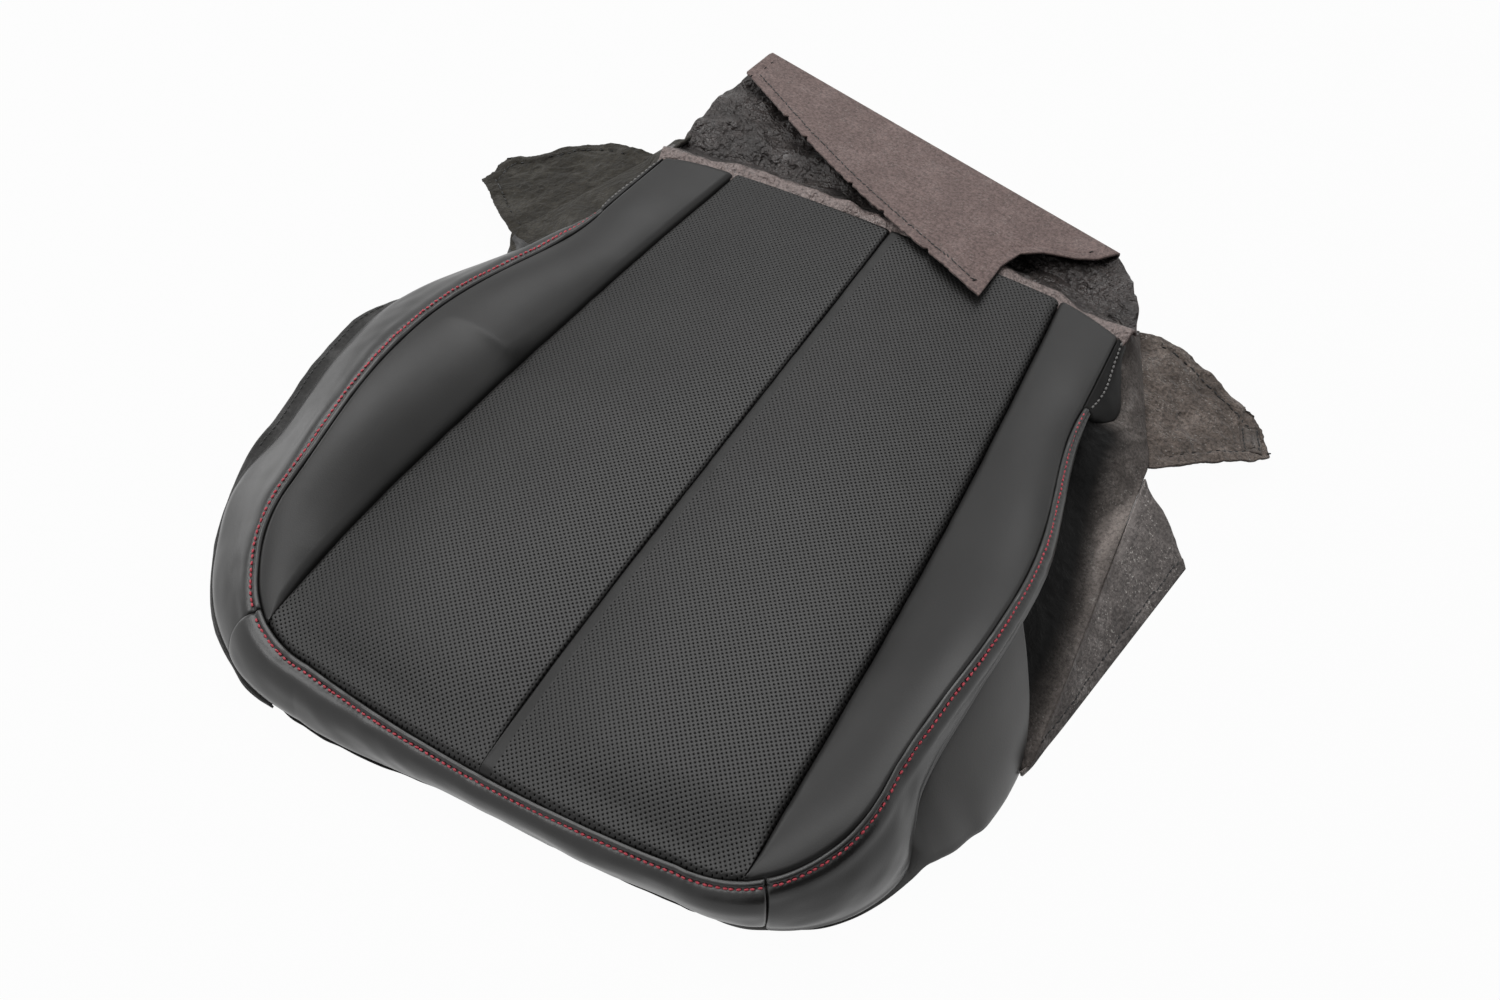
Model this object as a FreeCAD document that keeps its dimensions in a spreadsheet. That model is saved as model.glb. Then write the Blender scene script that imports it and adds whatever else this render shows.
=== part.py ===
"""Trim cover of a car seat cushion, taken off its seat: sewn leather and nonwoven cloth over foam laminate.

The cover stands upright on its lower hems, hollow underneath. Its rear flap is folded forward over the seat.
Millimetres. +Z up, the floor is z = 0, the front edge faces -Y, and x = 0 is the middle of the seat.
Angles are in degrees.
"""

import FreeCAD, Part
import math
import os

import Sketcher

Vector = FreeCAD.Vector

doc = FreeCAD.newDocument("seat_cushion_cover")
sheet = doc.addObject("Spreadsheet::Sheet", "Sizes")

# Every driving size, with what it measures
SIZES = [
    # Middle seam and the two deep seams beside it
    ("front_seam_y", 248.4, "distance from the origin forward to the front seam, at the middle"),
    ("front_seam_bow", 7.4, "how far the front seam falls back where the corner rounding starts"),
    ("rear_edge_y", 231, "distance back to the leather's rear edge, at the middle"),
    ("rear_corner_y", 218, "distance back to the leather's rear corners"),
    ("rear_corner_half_width", 176, "half width at the leather's rear corners"),
    ("rear_corner_height", 76, "height of the leather's rear corners"),
    ("trench_front_y", 230, "distance forward to the front ends of the deep seams"),
    ("trench_rear_y", 234, "distance back to the rear ends of the deep seams"),
    ("trench_front_half_width", 164, "half distance between the deep seams at the front"),
    ("trench_rear_half_width", 127, "half distance between the deep seams at the rear"),
    ("trench_front_height", 51, "height of the deep seams at the front"),
    ("trench_front_roll", 12, "height that the deep seams gain in the front rounding"),
    ("trench_rise", 9, "height that the deep seams gain over the length, past the rounding"),
    ("middle_front_height", 44, "height of the middle seam at the front"),
    ("middle_front_roll", 12, "height that the middle seam gains in the front rounding"),
    ("middle_rise", 23, "height that the middle seam gains over the length, past the rounding"),
    ("front_roll_length", 45, "length over which the front rounding dies out"),
    # Red seam round the front and sides
    ("corner_centre_x", 128, "half distance between the centres of the front corners"),
    ("corner_centre_y", 161, "distance forward to the centres of the front corners"),
    ("corner_radius", 80, "radius of the red seam round the front corners"),
    ("widest_y", 45, "distance forward to the widest place of the red seam"),
    ("widest_half_width", 215, "half width of the red seam at its widest"),
    ("seam_end_y", 150, "distance back to the ends of the red seam"),
    ("seam_end_half_width", 182.5, "half width at the ends of the red seam"),
    ("front_seam_height", 42, "height of the red seam at the middle of the front"),
    ("corner_seam_height", 45, "height of the red seam where the corner rounding starts"),
    ("peak_seam_height", 93, "height of the red seam at its highest"),
    ("peak_y", 72, "distance forward to the highest place of the red seam"),
    ("seam_end_height", 76, "height of the ends of the red seam"),
    ("corner_join_angle", 55, "angle from the X axis to the seam between side and front borders"),
    # Skin, foam laminate and cloth
    ("skin", 1.2, "thickness of the leather"),
    ("bond", 0.35, "bond line between leather and foam"),
    ("foam", 5, "thickness of the foam laminate"),
    ("border_foam", 4, "thickness of the foam laminate behind the borders"),
    ("cloth", 1.5, "thickness of the nonwoven cloth"),
    ("seam_gap", 0.35, "half of the gap between two panels at a seam"),
    ("trench_roll", 6.5, "radius of a panel's edge where it turns down into a deep seam"),
    ("trench_drop", 8, "depth of the deep seams"),
    ("middle_roll", 3, "radius of a panel's edge at the middle seam"),
    ("middle_drop", 4, "depth of the middle seam"),
    ("edge_roll", 3.5, "radius of a side panel's edge at the red seam"),
    ("edge_drop", 4.5, "depth of a side panel's edge at the red seam"),
    ("edge_share", 0.3, "largest share of a narrow panel's width that an edge radius may take"),
    ("insert_crown", 5, "crown of the two middle panels"),
    ("insert_rear_crown", 1.5, "their crown at the rear edge"),
    ("bolster_crown", 9, "crown of the two side panels"),
    ("bolster_tip_angle", 57, "angle from the X axis to the front tip of the side panels"),
    ("bolster_fan", 0.97, "how the side panels' cross lines spread along the deep seam"),
    ("least_crown", 0.5, "crown of a side panel at its ends"),
    ("foam_least_width", 22, "least width of a side panel that has foam behind it"),
    ("cutting_allowance", 9, "length of the middle panels ahead of the front seam, before they are cut"),
    ("panel_inset", 0.6, "gap between the front seam and the panels behind it"),
    ("foam_inset", 3, "gap between the front seam and the foam behind those panels"),
    # Borders: reach outward from the red seam, height of the lower edge and bulge, at each key place
    ("left_rear_reach", 4, "left border, at the end of the red seam"),
    ("left_rear_low", 68, ""),
    ("left_rear_bulge", 1.5, ""),
    ("left_waist_reach", 20, "left border, beside the narrowing of the seat"),
    ("left_waist_low", 64, ""),
    ("left_waist_bulge", 4, ""),
    ("left_wide_reach", 41, "left border, at its widest"),
    ("left_wide_low", 73, ""),
    ("left_wide_bulge", 4, ""),
    ("left_notch_reach", 33, "left border, where its lower edge is drawn in"),
    ("left_notch_low", 67, ""),
    ("left_notch_bulge", 4, ""),
    ("left_shoulder_reach", 42, "left border, ahead of that place"),
    ("left_shoulder_low", 52, ""),
    ("left_shoulder_bulge", 5, ""),
    ("left_turn_reach", 37, "left border, half way round the front corner"),
    ("left_turn_low", 28, ""),
    ("left_turn_bulge", 7, ""),
    ("left_join_reach", 25, "left border and front border, at the corner seam between them"),
    ("left_join_low", 12, ""),
    ("left_join_bulge", 9, ""),
    ("right_rear_reach", 3, "right border, at the end of the red seam"),
    ("right_rear_low", 66, ""),
    ("right_rear_bulge", 1.5, ""),
    ("right_waist_reach", 9, "right border, beside the narrowing of the seat"),
    ("right_waist_low", 56, ""),
    ("right_waist_bulge", 5, ""),
    ("right_wide_reach", 10, "right border, at its widest"),
    ("right_wide_low", 60, ""),
    ("right_wide_bulge", 8, ""),
    ("right_notch_reach", 12, "right border, where its lower edge is drawn in"),
    ("right_notch_low", 56, ""),
    ("right_notch_bulge", 8, ""),
    ("right_shoulder_reach", 16, "right border, ahead of that place"),
    ("right_shoulder_low", 42, ""),
    ("right_shoulder_bulge", 7, ""),
    ("right_turn_reach", 15, "right border, half way round the front corner"),
    ("right_turn_low", 12, ""),
    ("right_turn_bulge", 8, ""),
    ("right_join_reach", 5, "right border and front border, at the corner seam between them"),
    ("right_join_low", 7, ""),
    ("right_join_bulge", 8, ""),
    ("front_left_reach", 15, "front border, at the left end of the front"),
    ("front_left_low", 1.7, ""),
    ("front_left_bulge", 9, ""),
    ("front_middle_reach", -1, "front border, at the middle of the front"),
    ("front_middle_low", 1.7, ""),
    ("front_middle_bulge", 8, ""),
    ("front_right_reach", -1, "front border, at the right end of the front"),
    ("front_right_low", 1.7, ""),
    ("front_right_bulge", 8, ""),
    ("wide_y", 20, "distance forward to the middle of the borders' widest stretch"),
    ("waist_y", 100, "distance back to the borders' narrowing"),
    ("notch_y", 118, "distance forward to the place where the borders' lower edge is drawn in"),
    ("turn_angle", 22, "angle from the X axis to the borders' key place in the front corner"),
    # Walls below the borders
    ("wall_gap", 0.6, "gap between a border's lower edge and the wall sewn to it"),
    ("left_wall_foot_reach", 46, "left wall's foot, outward from the red seam's widest"),
    ("left_wall_bulge", 11, "bulge of the left wall"),
    ("left_wall_rear_bulge", 1, "the same below the left tab"),
    ("tab_seam_inset", 1, "how far the left wall's upper edge lies inside the left tab's fold"),
    ("wall_end_share", 0.4, "share of the front border's corner stretch that the walls go on under"),
    ("left_wall_turn_y", 95, "distance back to where the left wall leaves the border's lower edge"),
    ("right_wall_reach", 27, "how far the right wall's foot stands outside its upper edge, at its widest"),
    ("right_wall_front_reach", -1, "the same at the front corner, where the foot lies inside"),
    ("right_wall_bulge", 5, "bulge of the right wall"),
    ("right_wall_foot_y", 65, "distance forward to the rear end of the right wall's foot"),
    ("right_wall_top_y", 14, "distance forward to the rear end of the right wall's upper edge"),
    # Side cloths, from under the borders to their folds; the skirt hangs on from the right one
    ("side_cloth_bulge", 7, "bulge of the side cloths"),
    ("tab_cloth_bulge", 2.5, "the same above the tabs, behind the red seam's ends"),
    ("fold_gap", 0.6, "gap between a cloth and the piece that goes on from its fold"),
    ("skirt_front_reach", 38.5, "front end of the fold above the skirt, outward from the red seam's widest"),
    ("skirt_front_y", 63, ""),
    ("skirt_front_height", 4, ""),
    ("skirt_ridge_reach", 35, "the same where that fold's steep front part ends"),
    ("skirt_ridge_y", 8, ""),
    ("skirt_ridge_height", 20, ""),
    ("skirt_ridge_share", 0.25, "share of the fold's sections that lie ahead of that place"),
    ("skirt_rear_reach", 15, "the same at the rear end of that fold"),
    ("skirt_rear_y", 150, ""),
    ("skirt_rear_height", 35, ""),
    ("skirt_hem_front_reach", 40, "front end of the skirt's hem on the floor, measured the same way"),
    ("skirt_hem_front_y", 62, ""),
    ("skirt_hem_rear_reach", 60, "rear end of that hem, measured the same way"),
    ("skirt_hem_rear_y", 124, ""),
    ("skirt_bulge", 3, "bulge of the skirt"),
    ("right_tab_front_reach", 13, "front end of the right tab's fold, measured the same way"),
    ("right_tab_front_y", 162, ""),
    ("right_tab_rear_reach", -2, "rear end of that fold, outward from the leather's rear corner"),
    ("right_tab_rear_y", 272, ""),
    ("right_tab_height", 35, "height of that fold"),
    ("left_tab_front_reach", 35, "front end of the left tab's fold, outward from the red seam's widest"),
    ("left_tab_front_y", 130, ""),
    ("left_tab_rear_reach", 29, "rear end of that fold, outward from the leather's rear corner"),
    ("left_tab_rear_y", 265, ""),
    ("left_tab_height", 39, "height of that fold"),
    ("left_wall_rear_foot_reach", 40, "rear end of the left wall's foot, outward from the rear corner"),
    ("tab_fall_angle", 15, "angle at which the tabs fall away from their folds"),
    # Leather gussets between the red seam's ends and the rear corners
    ("gusset_reach", 12, "how far a gusset reaches outward at its middle"),
    ("gusset_end_reach", 5, "the same at its ends"),
    ("gusset_low", 58, "height of a gusset's lower edge at its middle"),
    ("gusset_end_low", 65, "the same at its ends"),
    ("gusset_bulge", 2.5, "bulge of a gusset"),
    # Rear band and the flap folded from it
    ("band_half_width", 180, "half width of the rear band where it leaves the leather"),
    ("band_gap", 1.2, "gap between the leather's rear edge and the band"),
    ("band_drop", 3, "how far the band starts below the leather's rear edge"),
    ("fold_left_x", 181, "left end of the rear flap's fold"),
    ("fold_left_y", 377, ""),
    ("fold_right_x", 139, "right end of the rear flap's fold"),
    ("fold_right_y", 305, ""),
    ("fold_height", 62, "height of the rear flap's fold"),
    ("flap_rise_angle", 10.5, "angle at which the flap rises from its fold towards the seat"),
    ("band_sag", 5, "sag of the band between the leather and the fold"),
    ("fold_lift", 0.3, "distance from the fold's axis to the band below it and to the flap above it"),
    # Hems and stitching
    ("hem_width", 9, "width of the turned hems"),
    ("hem_thickness", 1, "thickness of a turned hem"),
    ("hem_gap", 0.15, "gap between a hem and the cloth that it is sewn to"),
    ("hem_inset", 0.8, "distance from a cloth's edge to its hem"),
    ("hem_root_gap", 6, "distance from a fold to the ends of the hem"),
    ("patch_length", 24, "length of the patch on the right tab"),
    ("patch_width", 14, "width of that patch"),
    ("patch_u", 64, "distance from the tab's rear end to the patch"),
    ("patch_v", 68, "distance from the fold to the patch"),
    ("front_hem_width", 16, "width of the front hem"),
    ("front_hem_reach", 145, "half of the length of seam that the front hem follows"),
    ("front_hem_show", 1.5, "how far the front hem stands out in front of the border's lower edge"),
    ("front_hem_thickness", 1.2, "thickness of the front hem"),
    ("stitch_pitch", 4, "pitch of the stitches"),
    ("stitch_length", 3.1, "length of one stitch"),
    ("stitch_width", 1, "width of one stitch"),
    ("stitch_depth", 0.7, "thickness of one stitch"),
    ("stitch_inset", 5, "distance from the red seam outward to the red stitches"),
    ("corner_stitch_inset", 3, "distance from the black seam outward to the stitches on the gussets"),
    ("stitch_lift", 0.55, "gap between a stitch and the leather"),
    ("foam_trim", 3, "distance from a border's edges to the foam behind it"),
    ("band_sewn_share", 0.25, "share of the band's side edges that is sewn to the side cloths"),
    # Listing wires and sleeves under the three long seams
    ("wire_radius", 1.25, "radius of a listing wire"),
    ("sleeve_bore", 1.9, "inner radius of the tunnel that holds a listing wire"),
    ("sleeve_wall", 0.8, "wall of that tunnel"),
    ("sleeve_web", 1, "thickness of the web that joins tunnel and seam"),
    ("sleeve_depth", 13, "depth of the tunnel's centre below the turned edges of the leather"),
    ("sleeve_front_y", 190, "distance forward to the front ends of the sleeves"),
    ("sleeve_rear_y", 205, "distance back to the rear ends of the sleeves"),
    ("web_gap", 1.1, "gap between the leather's turned edges and the web"),
    ("wire_end", 12, "free length of a wire past each end of its sleeve"),
    # Plastic hook strip at the front hem
    ("hook_wall", 1.8, "wall of the hook strip"),
    ("hook_height", 14, "height of the hook strip's long leg"),
    ("hook_width", 9, "width of the hook strip"),
    ("hook_lip", 7, "height of the hook strip's short leg"),
    ("hook_length", 200, "length of the hook strip"),
    ("hook_y", 236, "distance forward to the front of the hook strip"),
    ("hook_lift", 0.3, "gap between the hook strip and the front hem"),
]

# Corners of the flat flaps: distance along the fold and distance from it
OUTLINES = {
    "rear_flap": [
        (5, 18), (14, 30), (33, 44), (42, 58), (42, 80), (32, 116), (44, 115), (76, 111), (112, 103),
        (146, 95), (177, 89), (206, 80), (242, 65), (262, 61), (294, 50), (318, 39), (328, 3),
    ],
    "tab_left": [
        (8, 28), (28, 78), (31, 89), (39, 88), (50, 95), (64, 98), (70, 94), (76, 82), (93, 74), (115, 57),
        (127, 40), (126, 23), (132, 3),
    ],
    "tab_right": [
        (1, 18), (5, 29), (16, 43), (26, 52), (41, 65), (55, 79), (64, 84), (75, 85), (87, 88), (96, 73),
        (108, 38), (117, 20), (123, 3),
    ],
}
for label, corners in OUTLINES.items():
    for number, (along, outward) in enumerate(corners, start=1):
        SIZES.append((f"{label}_corner_{number}_along", along, f"corner {number} of {label}, along its fold"))
        SIZES.append((f"{label}_corner_{number}_out", outward, "and its distance from the fold"))

for row, (alias, value, note) in enumerate(SIZES, start=1):
    sheet.set(f"A{row}", alias.replace("_", " "))
    sheet.set(f"B{row}", str(value))
    sheet.set(f"C{row}", note)
    sheet.setAlias(f"B{row}", alias)
doc.recompute()


def size(alias):
    return float(sheet.get(alias))


UP = Vector(0, 0, 1)
LEFT = -1
RIGHT = 1
pieces = []


def ease(share):
    """Smooth step from 0 to 1."""
    share = min(max(share, 0.0), 1.0)
    return share * share * (3 - 2 * share)


def roll(distance):
    """Share of the front rounding gained at a distance behind the front."""
    return 1 - math.exp(-max(distance, 0.0) / size("front_roll_length"))


def mirrored(vector, side):
    return Vector(side * vector.x, vector.y, vector.z)


def middle_seam(y):
    """Point of the middle seam."""
    front, rear = size("front_seam_y"), size("rear_edge_y")
    height = size("middle_front_height") + size("middle_front_roll") * roll(y + front)
    return Vector(0, y, height + size("middle_rise") * (y + front) / (front + rear))


def deep_seam(y):
    """Point of the right-hand deep seam."""
    front, rear = size("trench_front_y"), size("trench_rear_y")
    share = max((y + front) / (front + rear), 0.0)
    narrowing = size("trench_front_half_width") - size("trench_rear_half_width")
    height = size("trench_front_height") + size("trench_front_roll") * roll(y + front)
    x = size("trench_front_half_width") - narrowing * share**1.6
    return Vector(x, y, height + size("trench_rise") * share)


def red_seam_height(y):
    front = size("corner_centre_y") + size("corner_radius")
    low, peak, end = size("corner_seam_height"), size("peak_seam_height"), size("seam_end_height")
    if y < -size("peak_y"):
        share = max((y + front) / (front - size("peak_y")), 0.0)
        return low + (peak - low) * math.sin(math.pi / 2 * share)
    return peak - (peak - end) * ease((y + size("peak_y")) / (size("peak_y") + size("seam_end_y")))


def side_half_width(y):
    """Half width of the red seam, and of the black seam that goes on from its end to the rear corner."""
    corner_side = size("corner_centre_x") + size("corner_radius")
    widest, end = size("widest_half_width"), size("seam_end_half_width")
    if y > size("seam_end_y"):
        share = (y - size("seam_end_y")) / (size("rear_corner_y") - size("seam_end_y"))
        return end + (size("rear_corner_half_width") - end) * share
    if y > 0:
        return widest - (widest - end) * ease(y / size("seam_end_y"))
    stretch = size("corner_centre_y") - size("widest_y")
    return corner_side + (widest - corner_side) * ease((y + size("corner_centre_y")) / stretch)


def red_seam(run):
    """Point of the right-hand red seam and the outward direction there.

    The run is minus y along the side, and goes on as arc length round the front corner.
    """
    turn = run - size("corner_centre_y")
    if turn <= 0:
        y = -run
        slope = side_half_width(y + 0.5) - side_half_width(y - 0.5)
        outward = Vector(1, -slope, 0)
        outward.normalize()
        return Vector(side_half_width(y), y, red_seam_height(y)), outward
    angle = turn / size("corner_radius")
    outward = Vector(math.cos(angle), -math.sin(angle), 0)
    y = -size("corner_centre_y") - size("corner_radius") * math.sin(angle)
    x = size("corner_centre_x") + size("corner_radius") * math.cos(angle)
    return Vector(x, y, red_seam_height(y)), outward


def front_seam(x):
    """Point of the red seam along the front, and past that round the corner, with the outward direction."""
    side = RIGHT if x >= 0 else LEFT
    past = abs(x) - size("corner_centre_x")
    if past > 0:
        point, outward = red_seam(corner_run(90) - past)
        return mirrored(point, side), mirrored(outward, side)
    share = x / size("corner_centre_x")
    y = -size("front_seam_y") + size("front_seam_bow") * share**2
    rise = size("corner_seam_height") - size("front_seam_height")
    outward = Vector(2 * size("front_seam_bow") * share / size("corner_centre_x"), -1, 0)
    outward.normalize()
    return Vector(x, y, size("front_seam_height") + rise * share**2), outward


def corner_run(angle):
    """Run of the place at an angle from the X axis round the front corner."""
    return size("corner_centre_y") + size("corner_radius") * math.radians(angle)


def between(keys, place):
    """Smooth value at a place, from a list of places and values."""
    if place <= keys[0][0]:
        return keys[0][1]
    for (start, low), (end, high) in zip(keys, keys[1:]):
        if place <= end:
            return low + (high - low) * ease((place - start) / (end - start))
    return keys[-1][1]


SIDE_NAMES = {LEFT: "left", RIGHT: "right"}


def side_keys(side, measure):
    name = SIDE_NAMES[side]
    places = {
        "rear": -size("seam_end_y"),
        "waist": -size("waist_y"),
        "wide": size("wide_y"),
        "notch": size("notch_y"),
        "shoulder": size("corner_centre_y"),
        "turn": corner_run(size("turn_angle")),
        "join": corner_run(size("corner_join_angle")),
    }
    return [(place, size(f"{name}_{key}_{measure}")) for key, place in places.items()]


def front_keys(measure):
    join = size("corner_centre_x") + corner_run(90) - corner_run(size("corner_join_angle"))
    return [
        (-join, size(f"left_join_{measure}")),
        (-size("corner_centre_x"), size(f"front_left_{measure}")),
        (0, size(f"front_middle_{measure}")),
        (size("corner_centre_x"), size(f"front_right_{measure}")),
        (join, size(f"right_join_{measure}")),
    ]


def border_profile(point, outward, reach, low, bulge):
    """Top and bottom of a border at one place of the red seam, with its outward direction and bulge."""
    top = point + outward * size("seam_gap")
    bottom = point + outward * reach
    bottom.z = low
    return top, bottom, outward, bulge


def side_border(side, run):
    point, outward = red_seam(run)
    values = [between(side_keys(side, measure), run) for measure in ("reach", "low", "bulge")]
    return border_profile(mirrored(point, side), mirrored(outward, side), *values)


def front_border(x):
    point, outward = front_seam(x)
    values = [between(front_keys(measure), x) for measure in ("reach", "low", "bulge")]
    return border_profile(point, outward, *values)


def arc(centre, across, along, radius, start, end):
    """Edge on a circle between two angles, measured from the across direction."""
    points = [
        centre + across * (radius * math.cos(angle)) + along * (abs(radius) * math.sin(angle))
        for angle in (start, (start + end) / 2, end)
    ]
    return Part.Arc(*points).toShape()


def ends(edge):
    return edge.Vertexes[0].Point, edge.Vertexes[-1].Point


def closed(outer, inner):
    """Closed section from an outer and an inner edge that run the same way."""
    outer_start, outer_end = ends(outer)
    inner_start, inner_end = ends(inner)
    return Part.Wire(
        [
            outer,
            Part.LineSegment(outer_end, inner_end).toShape(),
            inner.reversed(),
            Part.LineSegment(inner_start, outer_start).toShape(),
        ]
    )


def shell_section(profile, near, far, trim=0.0):
    """Section of a bulged wall between two depths below its outer surface.

    Its upper end is cut off upright above the seam, and trim shortens it at both ends.
    """
    top, bottom, outward, bulge = profile
    chord = bottom - top
    along = chord * (1 / chord.Length)
    across = outward - along * outward.dot(along)
    across.normalize()
    radius = (chord.Length**2 / 4 + bulge**2) / (2 * bulge)
    centre = (top + bottom) * 0.5 + across * (bulge - radius)
    half = math.asin(min(chord.Length / 2 / abs(radius), 1.0))
    edges = []
    for depth in (near, far):
        own = radius - depth
        start = -half
        reach = math.hypot(own * across.dot(outward), abs(own) * along.dot(outward))
        lean = math.atan2(abs(own) * along.dot(outward), own * across.dot(outward))
        at_seam = (top - centre).dot(outward)
        if radius > 0 and abs(at_seam) < reach:
            start = max(start, lean - math.acos(at_seam / reach))
        edges.append(arc(centre, across, along, own, start + trim / abs(own), half - trim / abs(own)))
    return closed(*edges)


def point_on_wall(profile, distance):
    """Point on a wall's outer surface at a distance below its top, with the surface's normal."""
    top, bottom, outward, bulge = profile
    chord = bottom - top
    along = chord * (1 / chord.Length)
    across = outward - along * outward.dot(along)
    across.normalize()
    radius = (chord.Length**2 / 4 + bulge**2) / (2 * bulge)
    centre = (top + bottom) * 0.5 + across * (bulge - radius)
    angle = distance / radius - math.asin(chord.Length / 2 / radius)
    normal = across * math.cos(angle) + along * math.sin(angle)
    return centre + normal * radius, normal


def panel_edges(start, end, start_roll, end_roll, crown, depth, drops):
    """Edges of a crowned panel from seam to seam, at a depth below its outer surface."""
    across = Vector(end.x - start.x, end.y - start.y, 0)
    width = across.Length
    across.normalize()
    gap = size("seam_gap")
    diagonal = math.sqrt(0.5)

    def at(distance, height):
        return Vector(start.x, start.y, height) + across * distance

    def turned(height, radius, drop, seam, sign):
        own = radius - depth
        hub = seam + sign * (gap + radius)
        return [
            at(hub - sign * own, height - drop),
            at(hub - sign * own, height - radius),
            at(hub - sign * own * diagonal, height - radius + own * diagonal),
            at(hub, height - depth),
        ]

    first = turned(start.z, start_roll, drops[0], 0, 1)
    last = turned(end.z, end_roll, drops[1], width, -1)
    top = at(width / 2, (start.z + end.z) / 2 + crown - depth)
    return [
        Part.LineSegment(first[0], first[1]).toShape(),
        Part.Arc(first[1], first[2], first[3]).toShape(),
        Part.Arc(first[3], top, last[3]).toShape(),
        Part.Arc(last[3], last[2], last[1]).toShape(),
        Part.LineSegment(last[1], last[0]).toShape(),
    ]


def skin_section(start, end, rolls, drops, crown):
    """Section of a panel's leather, with both edges turned down into their seams."""
    width = math.hypot(end.x - start.x, end.y - start.y)
    limit = size("edge_share") * width
    rolls = [min(value, limit) for value in rolls]
    drops = [min(drop, limit + 1) for drop in drops]
    outer = panel_edges(start, end, *rolls, crown, 0.0, drops)
    inner = panel_edges(start, end, *rolls, crown, size("skin"), drops)
    first, last = ends(outer[0])[0], ends(outer[-1])[1]
    inner_first, inner_last = ends(inner[0])[0], ends(inner[-1])[1]
    joined = outer + [Part.LineSegment(last, inner_last).toShape()]
    joined += [edge.reversed() for edge in reversed(inner)]
    joined.append(Part.LineSegment(inner_first, first).toShape())
    return Part.Wire(joined)


def foam_section(start, end, rolls, crown):
    """Section of the foam laminate behind a panel's leather, between its turned edges."""
    near = size("skin") + size("bond")
    far = near + size("foam")
    edges = [panel_edges(start, end, *rolls, crown, depth, (1, 1))[2] for depth in (near, far)]
    return closed(*edges)


def add_piece(label, shape, placement=FreeCAD.Placement()):
    """Document object of a computed shape."""
    if shape.Volume < 0:
        shape.reverse()
    piece = doc.addObject("Part::Feature", label)
    piece.Label = label
    piece.Shape = shape
    piece.Placement = placement
    pieces.append(piece)
    return piece


def add_loft(label, sections, straight=False):
    return add_piece(label, Part.makeLoft(sections, True, straight))


# The middle panels run from the middle seam to a deep seam, on lines that fan out a little
PANEL_SHARES = (0.0, 0.03, 0.07, 0.15, 0.27, 0.4, 0.55, 0.7, 0.85, 1.0)


def insert_stations():
    """Pairs of places on the middle and deep seams, from ahead of the front seam to the rear edge."""
    front = size("front_seam_y") + size("cutting_allowance")
    deep_front = size("trench_front_y") + size("cutting_allowance")
    for share in PANEL_SHARES:
        middle_y = -front + share * (size("rear_edge_y") + front)
        deep_y = -deep_front + share * (size("trench_rear_y") + deep_front)
        flattening = size("insert_crown") - size("insert_rear_crown")
        crown = size("insert_crown") - flattening * ease(2 * share - 1)
        yield middle_seam(middle_y), deep_seam(deep_y), crown


def inside_front_seam(shape, inset):
    """A middle panel or its foam, cut off along the front seam at a distance behind it."""
    reach = size("corner_centre_x") + size("corner_radius")
    places = [reach * number / 8 for number in range(-8, 9)]
    line = [point - outward * inset for point, outward in map(front_seam, places)]
    curve = Part.BSplineCurve()
    curve.interpolate([Vector(point.x, point.y, 0) for point in line])
    first, last = Vector(line[0].x, line[0].y, 0), Vector(line[-1].x, line[-1].y, 0)
    far = [Vector(last.x, -2 * reach, 0), Vector(first.x, -2 * reach, 0)]
    edges = [curve.toShape(), Part.LineSegment(last, far[0]).toShape()]
    edges += [Part.LineSegment(far[0], far[1]).toShape(), Part.LineSegment(far[1], first).toShape()]
    ahead = Part.Face(Part.Wire(edges)).extrude(UP * reach)
    return shape.cut(ahead).Solids[0]


def bolster_stations():
    """Pairs of places on a deep seam and on the outer seams, from the rear corner to the front tip."""
    black_seam_middle = (size("rear_corner_y") + size("seam_end_y")) / 2
    runs = [-size("rear_corner_y") + size("panel_inset"), -black_seam_middle]
    runs += [-size("seam_end_y") * share for share in (1, 0.77, 0.53, 0.27, 0)]
    runs += [size("corner_centre_y") * share for share in (0.31, 0.56, 0.78, 0.93, 1)]
    runs += [corner_run(size("bolster_tip_angle") * share) for share in (0.18, 0.39, 0.61, 0.81, 1)]
    first, last = runs[0], runs[-1]
    deep_rear, deep_front = size("trench_rear_y"), size("trench_front_y")
    for run in runs:
        share = (run - first) / (last - first)
        y = deep_rear - share**size("bolster_fan") * (deep_rear + deep_front)
        start, end = deep_seam(y), red_seam(run)[0]
        crown = size("bolster_crown") * ease(3 * (1 - share)) * (1 - 0.6 * ease(1 - 4 * share))
        crown = max(crown, size("least_crown"))
        yield start, end, crown


def mirror_stations(stations, side):
    """Stations of one side, each from its smaller to its larger x."""
    for start, end, crown in stations:
        yield mirrored(start, side), mirrored(end, side), crown


MIDDLE_ROLLS = (size("middle_roll"), size("trench_roll"))
MIDDLE_DROPS = (size("middle_drop"), size("trench_drop"))
SIDE_ROLLS = (size("trench_roll"), size("edge_roll"))
SIDE_DROPS = (size("trench_drop"), size("edge_drop"))

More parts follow.
